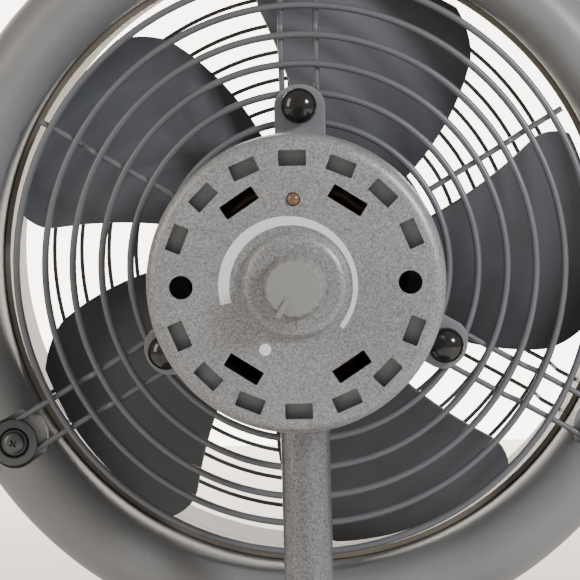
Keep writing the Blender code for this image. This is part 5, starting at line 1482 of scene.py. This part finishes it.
@dataclass
class WireGuards:
    """Welded wire guards at the inlet and the outlet, with their screws."""

    ring_wire: float = 1.5 * MM
    rod_wire: float = 1.25 * MM
    ring_count: int = 6
    outlet_wire: float = 0.9 * MM
    outlet_ring_count: int = 5
    outlet_dish: float = 14.5 * MM
    joggle_run: float = 4.0 * MM
    flat_rings: int = 4
    dish: float = 6.0 * MM
    inlet_radii: tuple[float, float] = (61.3 * MM, 122.5 * MM)
    outlet_radii: tuple[float, float] = (65.2 * MM, 113.3 * MM)
    lug_circle: float = 68.2 * MM
    inlet_screw_circle: float = 145.5 * MM
    outlet_screw_circle: float = 142.7 * MM
    loop_half: float = 7.4 * MM
    rod_tail: float = 5.0 * MM
    bend_gap: float = 2.5 * MM
    disc_radius: float = 54.0 * MM
    disc_thickness: float = 2.0 * MM

    def build(self) -> Pieces:
        """Build both guards and their fasteners."""
        return [self._inlet(), self._outlet()] + self._washers() + self._outlet_screws()

    def _radii(self, span: tuple[float, float], count: int) -> list[float]:
        """Return evenly spaced ring radii."""
        pitch = (span[1] - span[0]) / (count - 1)
        return [span[0] + pitch * index for index in range(count)]

    def _on_radius(self, along: float, aside: float, degrees: float, height: float) -> Vector:
        """Return a point from its distances along and beside a radius.

        Args:
            along: distance from the fan axis.
            aside: distance clockwise from the radius.
            degrees: the radius's clock angle.
            height: the point's height.

        Returns:
            The point in the guard's frame.
        """
        x, y = clock(along, degrees)
        side_x, side_y = clock(aside, degrees + 90.0)
        return Vector((x + side_x, y + side_y, height))

    def _stations(self, inner: float, outer: float, bend: tuple[float, float]) -> list[float]:
        """Return distances along a rod, close together where it bends.

        Args:
            inner: the first distance.
            outer: the last distance.
            bend: where the bend starts and ends.

        Returns:
            The distances in order.
        """
        steps = 10
        middle = [bend[0] + (bend[1] - bend[0]) * index / steps for index in range(steps + 1)]
        return [inner] + middle + [outer]

    def _loop(self, inner: float, outer: float, degrees: float, height: Callable[[float], float],
              bend: tuple[float, float], thickness: float) -> BMesh:
        """Return a closed wire loop round two screws.

        Args:
            inner: distance of the inner screw from the fan axis.
            outer: distance of the outer one.
            degrees: the loop's clock angle.
            height: the wire's height at a distance.
            bend: where the loop's legs bend.
            thickness: the wire's radius.

        Returns:
            The loop.
        """
        stations = self._stations(inner, outer, bend)
        points = [self._on_radius(along, self.loop_half, degrees, height(along)) for along in stations]
        for step in range(1, 16):
            turn = math.pi * step / 16.0
            along = outer + self.loop_half * math.sin(turn)
            points.append(self._on_radius(along, self.loop_half * math.cos(turn), degrees, height(outer)))
        points += [self._on_radius(along, -self.loop_half, degrees,
                                   height(along)) for along in reversed(stations)]
        for step in range(1, 16):
            turn = math.pi * step / 16.0
            along = inner - self.loop_half * math.sin(turn)
            points.append(self._on_radius(along, -self.loop_half * math.cos(turn), degrees, height(inner)))
        return wire(points, thickness, True)

    def _inlet(self) -> bpy.types.Object:
        """Dished guard: four flat rings, two set back, three loops and three single rods."""
        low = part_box("inlet_guard")[0]
        radii = self._radii(self.inlet_radii, self.ring_count)
        bend = (radii[self.flat_rings - 1] + self.bend_gap, radii[self.flat_rings] - self.bend_gap)
        offset = self.ring_wire + self.rod_wire - WELD_BITE

        def height(along: float) -> float:
            share = min(1.0, max(0.0, (along - bend[0]) / (bend[1] - bend[0])))
            return offset + self.dish * share * share * (3.0 - 2.0 * share)

        parts = []
        for index, radius in enumerate(radii):
            level = 0.0 if index < self.flat_rings else self.dish
            parts.append(wire_ring(radius, level, self.ring_wire))
        for degrees in THIRDS:
            parts.append(self._loop(self.lug_circle, self.inlet_screw_circle, degrees, height, bend,
                                    self.rod_wire))
            stations = self._stations(radii[0] - self.rod_wire, radii[-1] + self.rod_tail, bend)
            single = degrees + 60.0
            path = [self._on_radius(along, 0.0, single, height(along)) for along in stations]
            parts.append(wire(path, self.rod_wire, False))
        place = DATUM.axial(low.y + self.ring_wire)
        return add_piece("inlet_wires", gather(parts), place, Body.HEAD, WIRE_POWDER, ["inlet_guard"], 60.0)

    def _outlet(self) -> bpy.types.Object:
        """Guard dished back behind the wheel, closed by a pressed disc in its middle."""
        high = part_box("outlet_guard")[1]
        thickness = self.outlet_wire
        offset = 2.0 * thickness - WELD_BITE
        radii = self._radii(self.outlet_radii, self.outlet_ring_count)
        bend = (radii[-1] + self.bend_gap, radii[-1] + self.bend_gap + self.joggle_run)

        def height(along: float) -> float:
            share = min(1.0, max(0.0, (along - bend[0]) / (bend[1] - bend[0])))
            return -offset - self.outlet_dish * share * share * (3.0 - 2.0 * share)

        parts = [wire_ring(radius, 0.0, thickness) for radius in radii]
        inner = self.disc_radius - self.loop_half
        for degrees in THIRDS:
            parts.append(self._loop(inner, self.outlet_screw_circle, degrees, height, bend, thickness))
        start = thickness - WELD_BITE - offset
        top = start + self.disc_thickness
        rim = self.disc_radius
        profile = [(0.0, start), (rim, start), (rim, top), (rim - 8.0 * MM, top),
                   (rim - 10.0 * MM, top - 0.8 * MM),
                   (0.0, top - 0.8 * MM)]
        parts.append(turned(profile, 128, {1: 0.4 * MM, 2: 0.6 * MM, 3: 0.8 * MM, 4: 0.8 * MM}))
        place = DATUM.axial(high.y - top)
        return add_piece("outlet_wires", gather(parts), place, Body.HEAD, WIRE_POWDER, ["outlet_guard"], 50.0)

    def _washers(self) -> Pieces:
        """Dished washers and pan-head screws that clamp the inlet guard's loops."""
        made = []
        toward = Matrix.Rotation(math.radians(180.0), 4, "X")
        for index, degrees in enumerate(THIRDS):
            low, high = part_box(f"guard_washer_{index + 1}")
            radius = (high.x - low.x) / 2.0
            thickness = high.y - low.y
            recess = 5.6 * MM
            profile = [(2.3 * MM, 0.0), (radius, 0.0), (radius, thickness * 0.72),
                       (recess + 1.0 * MM, thickness),
                       (recess, thickness * 0.45), (2.3 * MM, thickness * 0.45)]
            shape = turned(profile, 96, {1: 0.3 * MM, 2: 0.5 * MM, 3: 0.5 * MM, 4: 0.3 * MM})
            place = DATUM.off_axis(self.inlet_screw_circle, degrees, high.y) @ toward
            node = f"guard_washer_{index + 1}"
            made.append(add_piece(f"clamp_washer_{index + 1}", shape, place, Body.HEAD, BLACK_OXIDE, [node]))
            low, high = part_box(f"guard_screw_{index + 1}")
            screw = PanScrew(head_radius=4.6 * MM)
            seat = low.y + screw.head_height
            place = DATUM.off_axis(self.inlet_screw_circle, degrees, seat) @ toward
            spin = Matrix.Rotation(math.radians(18.0 + 37.0 * index), 4, "Z")
            node = f"guard_screw_{index + 1}"
            shape = screw.shape(high.y - seat)
            made.append(add_piece(f"clamp_screw_{index + 1}", shape, place @ spin, Body.HEAD, BLACK_OXIDE,
                                  [node]))
        return made

    def _outlet_screws(self) -> Pieces:
        """Flanged screws that hold the outlet guard's loops."""
        made = []
        for index, degrees in enumerate(THIRDS):
            low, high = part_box(f"outlet_screw_{index + 1}")
            radius = (high.x - low.x) / 2.0
            screw = PanScrew()
            collar = 2.0 * MM
            seat = high.y - screw.head_height
            head = screw.shape(seat - low.y)
            profile = [(1.0 * MM, -collar), (radius, -collar), (radius, -collar * 0.4),
                       (screw.head_radius, 0.1 * MM),
                       (1.0 * MM, 0.1 * MM)]
            flange = turned(profile, 72, {1: 0.3 * MM, 2: 0.4 * MM})
            place = DATUM.off_axis(self.outlet_screw_circle, degrees, seat)
            shape = combine(head, flange, Operation.JOIN)
            node = f"outlet_screw_{index + 1}"
            made.append(add_piece(f"flange_bolt_{index + 1}", shape, place, Body.HEAD, BLACK_OXIDE, [node]))
        return made


# ---------------------------------------------------------------- shroud, duct and wheel

@dataclass
class Shroud:
    """Spun inlet ring with three pockets for the guard's fixings, and the duct behind it."""

    throat: float = 131.3 * MM
    bore: float = 128.5 * MM
    wall: float = 3.0 * MM
    rise: float = 22.0 * MM
    skirt: float = 6.0 * MM
    duct_wall: float = 2.5 * MM
    pad_radius: float = 14.0 * MM
    pad_depth: float = 11.3 * MM
    pocket_radius: float = 11.0 * MM
    screw_circle: float = 145.5 * MM
    channel_width: float = 21.3 * MM
    channel_overrun: float = 4.0 * MM
    rim_reach: float = 24.0 * MM
    flange_thickness: float = 4.0 * MM
    sleeve_flange: float = 5.0 * MM
    sleeve_channel: tuple[float, float] = (17.8 * MM, 4.2 * MM)

    def build(self) -> Pieces:
        """Build the ring, the duct and its sleeve."""
        return [self._ring(), self._duct(), self._sleeve()]

    def _ring(self) -> bpy.types.Object:
        """Bell mouth with a rolled lip."""
        low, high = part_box("shroud")
        lip = half_width("shroud")
        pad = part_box("inlet_guard")[1].y + SEAT_GAP - low.y
        middle = (self.throat + lip) / 2.0
        half = (lip - self.throat) / 2.0
        end = high.y - low.y
        back = self.rise + self.skirt
        collar = self.throat + self.duct_wall
        profile = [(lip - self.wall, back), (lip, back)]
        profile += arc((middle, self.rise), (half, self.rise), 0.0, -180.0, 40)
        profile += [(self.throat, end), (collar, end), (collar, self.rise + self.wall)]
        profile += arc((middle, self.rise), (half - self.wall, self.rise - self.wall), -180.0, 0.0, 24)[1:]
        shape = turned(profile, 180, {0: 0.6 * MM, 1: 0.6 * MM})
        pads, pockets = [], []
        length = self.screw_circle - self.throat + self.channel_overrun
        for degrees in THIRDS:
            centre = clock(self.screw_circle, degrees)
            pads.append(rod(self.pad_radius, pad * 0.9, pad + self.pad_depth, 96, centre))
            pockets.append(rod(self.pocket_radius, -pad, pad, 64, centre))
        shape = combine(shape, gather(pads), Operation.JOIN)
        shape = combine(shape, gather(pockets), Operation.CUT)
        channels = []
        for degrees in THIRDS:
            x, y = clock(self.screw_circle - length / 2.0, degrees)
            turn = Matrix.Rotation(math.radians(degrees), 4, "Z")
            channels.append(block((self.channel_width, length, pad * 2.0),
                                  Matrix.Translation((x, y, 0.0)) @ turn))
        shape = combine(shape, gather(channels), Operation.CUT)
        soften(shape, 0.9 * MM, 3, 48.0, lambda edge: self._pocket_rim(edge, pad))
        return add_piece("inlet_ring", shape, DATUM.axial(low.y), Body.HEAD, SHROUD_POWDER, ["shroud"], 40.0)

    def _pocket_rim(self, edge: BMEdge, pad: float) -> bool:
        """Tell whether an edge rims a pocket or a channel on the front of the ring.

        Args:
            edge: an edge of the ring.
            pad: depth of the pads.

        Returns:
            True for an edge to be softened.
        """
        middle = (edge.verts[0].co + edge.verts[1].co) / 2.0
        near = min((middle.xy - Vector(clock(self.screw_circle, degrees))).length for degrees in THIRDS)
        return near < self.rim_reach and middle.z < pad - 0.2 * MM

    def _duct(self) -> bpy.types.Object:
        """Rolled barrel that slips into the ring's collar, flanged for the outlet guard."""
        low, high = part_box("duct")
        flange = half_width("duct")
        outer = self.bore + self.duct_wall
        length = high.y - low.y
        front = length - self.flange_thickness
        profile = [(self.bore, 0.0), (outer, 0.0), (outer, front), (flange, front), (flange, length),
                   (self.bore, length)]
        shape = turned(profile, 180,
                       {0: 0.5 * MM, 1: 0.5 * MM, 2: 1.5 * MM, 3: 0.8 * MM, 4: 0.8 * MM, 5: 0.3 * MM})
        # The barrel's warm tint is a painted reflection of the warm backdrop on its inner wall.
        return add_piece("duct_barrel", shape, DATUM.axial(low.y), Body.HEAD, DUCT_POWDER_WITH_PAINTED_REFLECTION, ["duct"])

    def _sleeve(self) -> bpy.types.Object:
        """Rear part of the barrel; channels in its flange hold the outlet guard's loops."""
        low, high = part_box("outlet_sleeve")
        flange = half_width("outlet_sleeve")
        outer = self.bore + self.duct_wall
        length = high.y - low.y
        rim = self.sleeve_flange
        profile = [(self.bore, 0.0), (flange, 0.0), (flange, rim), (outer, rim), (outer, length),
                   (self.bore, length)]
        shape = turned(profile, 180,
                       {0: 0.3 * MM, 1: 0.8 * MM, 2: 0.8 * MM, 3: 1.5 * MM, 4: 1.0 * MM, 5: 1.0 * MM})
        channels = []
        span = (flange - self.bore) * 1.5
        for degrees in THIRDS:
            x, y = clock((flange + self.bore) / 2.0, degrees)
            turn = Matrix.Rotation(math.radians(degrees), 4, "Z")
            size = (self.sleeve_channel[0], span, self.sleeve_channel[1])
            channels.append(block(size, Matrix.Translation((x, y, 0.0)) @ turn))
        shape = combine(shape, gather(channels), Operation.CUT)
        # Same finish as the duct: its warm tint is a painted reflection of the backdrop.
        return add_piece("outlet_barrel", shape, DATUM.axial(low.y), Body.HEAD, DUCT_POWDER_WITH_PAINTED_REFLECTION,
                         ["outlet_sleeve"])


@dataclass
class FanWheel:
    """Moulded hub with five swept blades, its nut, and the shaft that carries it."""

    blade_count: int = 5
    hub_radius: float = 42.0 * MM
    hub_wall: float = 3.0 * MM
    hub_half: float = 17.0 * MM
    hub_y: float = 81.1 * MM
    bore: float = 5.1 * MM
    boss: float = 11.0 * MM
    nut_radius: float = 9.0 * MM
    tip_radius: float = 125.0 * MM
    thickness: float = 2.2 * MM
    axial: float = 36.0 * MM
    twist: float = 0.15
    camber: float = 4.0 * MM
    root_span: tuple[float, float] = (2.0, 53.0)
    tip_span: tuple[float, float] = (-11.5, 37.0)
    tip_trim: float = 5.0

    def build(self) -> Pieces:
        """Build the wheel and its nut, and dress the shaft and the rotor core."""
        dress("motor_shaft", TURNED_STEEL)
        dress("rotor_core", CORE_STEEL)
        return [self._wheel(), self._nut()]

    def _blade_point(self, share: float, along: float) -> Vector:
        """Return a point of a blade's middle surface.

        Args:
            share: how far it lies from the leading edge, from 0 to 1.
            along: how far it lies from the root, from 0 to 1.

        Returns:
            The point about the hub.
        """
        root = self.hub_radius - self.hub_wall * 0.5
        radius = root + (self.tip_radius - root) * along
        start = self.root_span[0] + (self.tip_span[0] - self.root_span[0]) * along
        end = self.root_span[1] + (self.tip_span[1] - self.root_span[1]) * along ** 1.4
        trim = self.tip_trim * (max(0.0, along - 0.8) / 0.2) ** 2
        degrees = start + trim + (end - start - 2.0 * trim) * share
        bow = self.camber * math.sin(math.pi * share)
        rise = (share - 0.5) * self.axial * (1.0 - self.twist * along) - bow
        x, y = clock(radius, degrees)
        return Vector((x, y, rise))

    def _blade(self, degrees: float) -> BMesh:
        """Return one blade: a curved sheet given its thickness and rounded edges.

        Args:
            degrees: the blade's angle round the hub.

        Returns:
            The blade.
        """
        bm = bmesh.new()
        bmesh.ops.create_grid(bm, x_segments=28, y_segments=28, size=0.5)
        for vert in bm.verts:
            along = math.sin(math.radians(90.0) * (vert.co.y + 0.5))
            vert.co = self._blade_point(vert.co.x + 0.5, along)
        bmesh.ops.recalc_face_normals(bm, faces=bm.faces)
        bm.normal_update()
        shift = {vert: vert.normal * self.thickness * 0.5 for vert in bm.verts}
        for vert, offset in shift.items():
            vert.co += offset
        bmesh.ops.solidify(bm, geom=bm.faces[:], thickness=self.thickness)
        bmesh.ops.recalc_face_normals(bm, faces=bm.faces)
        soften(bm, self.thickness * 0.42, 3, 55.0)
        turn = Matrix.Rotation(math.radians(degrees), 3, "Z")
        bmesh.ops.rotate(bm, cent=(0.0, 0.0, 0.0), matrix=turn, verts=bm.verts)
        return bm

    def _wheel(self) -> bpy.types.Object:
        """Hub cup and blades in one moulding."""
        half = self.hub_half
        inner = self.hub_radius - self.hub_wall
        profile = [(self.bore, -half * 0.5), (self.boss, -half * 0.5), (self.boss, half - self.hub_wall),
                   (inner, half - self.hub_wall), (inner, -half), (self.hub_radius, -half),
                   (self.hub_radius, half),
                   (self.bore, half)]
        hub = turned(profile, 128, {3: 1.5 * MM, 4: 0.8 * MM, 5: 0.8 * MM, 6: 4.0 * MM})
        blades = gather(self._blade(360.0 * index / self.blade_count) for index in range(self.blade_count))
        shape = combine(hub, blades, Operation.JOIN)
        place = DATUM.axial(self.hub_y)
        return add_piece("blade_wheel", shape, place, Body.ROTOR, BLADE_NYLON, ["fan_wheel"], 42.0)

    def _nut(self) -> bpy.types.Object:
        """Nut that holds the wheel on the shaft."""
        low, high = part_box("wheel_nut")
        shape = hex_nut(self.nut_radius, high.y - low.y, self.bore)
        return add_piece("wheel_lock_nut", shape, DATUM.axial(low.y), Body.ROTOR, BLACK_OXIDE, ["wheel_nut"])


# ---------------------------------------------------------------- studio

@dataclass
class Studio:
    """Pale floor, bright backdrop, soft lights and the camera."""

    azimuth: float = 2.4
    elevation: float = 4.73
    roll: float = 1.6
    distance: float = 1.803
    focal_mm: float = 278.7
    aim_shift: tuple[float, float] = (-2.21 * MM, -2.01 * MM)

    def build(self) -> None:
        """Set up the floor, the lights and the camera."""
        self._sheet("floor", Matrix(), (60.0, 60.0), FLOOR_PAINT)
        stand = Matrix.Translation((0.0, 2.1, 0.0)) @ Matrix.Rotation(math.radians(90.0), 4, "X")
        self._sheet("backdrop", stand, (1.5, 1.1), WALL_PANEL)
        self._world()
        self._lights()
        self._camera()

    def _axes(self) -> tuple[Vector, Vector, Vector]:
        """Work out the camera's directions before its roll.

        Returns:
            Its right, up and back directions.
        """
        turn = math.radians(self.azimuth)
        tilt = math.radians(self.elevation)
        back = Vector((math.sin(turn) * math.cos(tilt), -math.cos(turn) * math.cos(tilt), math.sin(tilt)))
        right = Vector((math.cos(turn), math.sin(turn), 0.0))
        return right, back.cross(right), back

    def _camera(self) -> None:
        """Place the long-lens camera."""
        right, up, back = self._axes()
        roll = math.radians(self.roll)
        right, up = right * math.cos(roll) - up * math.sin(roll), up * math.cos(roll) + right * math.sin(roll)
        face = Vector((0.0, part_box("motor_cover")[0].y + 5.0 * MM, DATUM.axis_z))
        target = face + right * self.aim_shift[0] + up * self.aim_shift[1]
        data = bpy.data.cameras.new("camera")
        data.lens = self.focal_mm
        data.sensor_width = 36.0
        camera = bpy.data.objects.new("camera", data)
        bpy.context.scene.collection.objects.link(camera)
        rotation = Matrix((right, up, back)).transposed().to_4x4()
        camera.matrix_world = Matrix.Translation(target + back * self.distance) @ rotation
        bpy.context.scene.camera = camera

    def _sheet(self, name: str, place: Matrix, size: tuple[float, float], finish: Finish) -> None:
        """Lay one flat sheet of the studio.

        Args:
            name: the sheet's name.
            place: where it lies.
            size: half its size each way.
            finish: its surface.
        """
        bm = bmesh.new()
        bmesh.ops.create_grid(bm, x_segments=1, y_segments=1, size=1.0)
        bmesh.ops.scale(bm, vec=(size[0], size[1], 1.0), verts=bm.verts)
        bm.transform(place)
        mesh = bpy.data.meshes.new(name)
        bm.to_mesh(mesh)
        bm.free()
        mesh.materials.append(finish.material())
        sheet = bpy.data.objects.new(name, mesh)
        bpy.context.scene.collection.objects.link(sheet)

    def _world(self) -> None:
        """Fill the room with warm white light."""
        world = bpy.data.worlds.new("studio")
        world.use_nodes = True
        background = world.node_tree.nodes["Background"]
        background.inputs["Color"].default_value = linear("#fffaf0")
        background.inputs["Strength"].default_value = 0.48
        bpy.context.scene.world = world

    def _lights(self) -> None:
        """Hang a key light to the upper right and a tall window light to the left."""
        self._panel("key", 47.0, 20.0, 1.6, (0.30, 0.30), 19.0, "#ffffff")
        self._panel("window", -66.0, 16.0, 1.6, (0.5, 1.1), 8.0, "#fff4dc")

    def _panel(self, name: str, azimuth: float, elevation: float, distance: float,
               size: tuple[float, float], power: float, colour: str) -> None:
        """Hang one rectangular light that faces the fan.

        Args:
            name: the light's name.
            azimuth: degrees to the right of the camera's axis.
            elevation: degrees above the camera's axis.
            distance: from the fan axis.
            size: width and height of the light.
            power: its power in watts.
            colour: its colour as a hex code.
        """
        turn = math.radians(self.azimuth + azimuth)
        tilt = math.radians(self.elevation + elevation)
        away = Vector((math.sin(turn) * math.cos(tilt), -math.cos(turn) * math.cos(tilt), math.sin(tilt)))
        data = bpy.data.lights.new(name, "AREA")
        data.shape = "RECTANGLE"
        data.size, data.size_y = size
        data.energy = power
        data.color = linear(colour)[:3]
        lamp = bpy.data.objects.new(name, data)
        bpy.context.scene.collection.objects.link(lamp)
        centre = Vector((0.0, 0.0, DATUM.axis_z))
        facing = away.to_track_quat("Z", "Y").to_matrix().to_4x4()
        lamp.matrix_world = Matrix.Translation(centre + away * distance) @ facing


def main() -> None:
    """Build every sub-assembly in order."""
    logging.basicConfig(level=logging.INFO, format="%(message)s")
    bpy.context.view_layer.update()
    assemblies = (
        Stand(), ClampKnob(), Post(), MotorCan(), SpeedKnob(), LugPlate(), WireGuards(), Shroud(), FanWheel(),
    )
    for assembly in assemblies:
        for piece in assembly.build():
            log.info("%s: %s, %d faces", type(assembly).__name__, piece.name, len(piece.data.polygons))
    Studio().build()


if __name__ == "__main__":
    main()
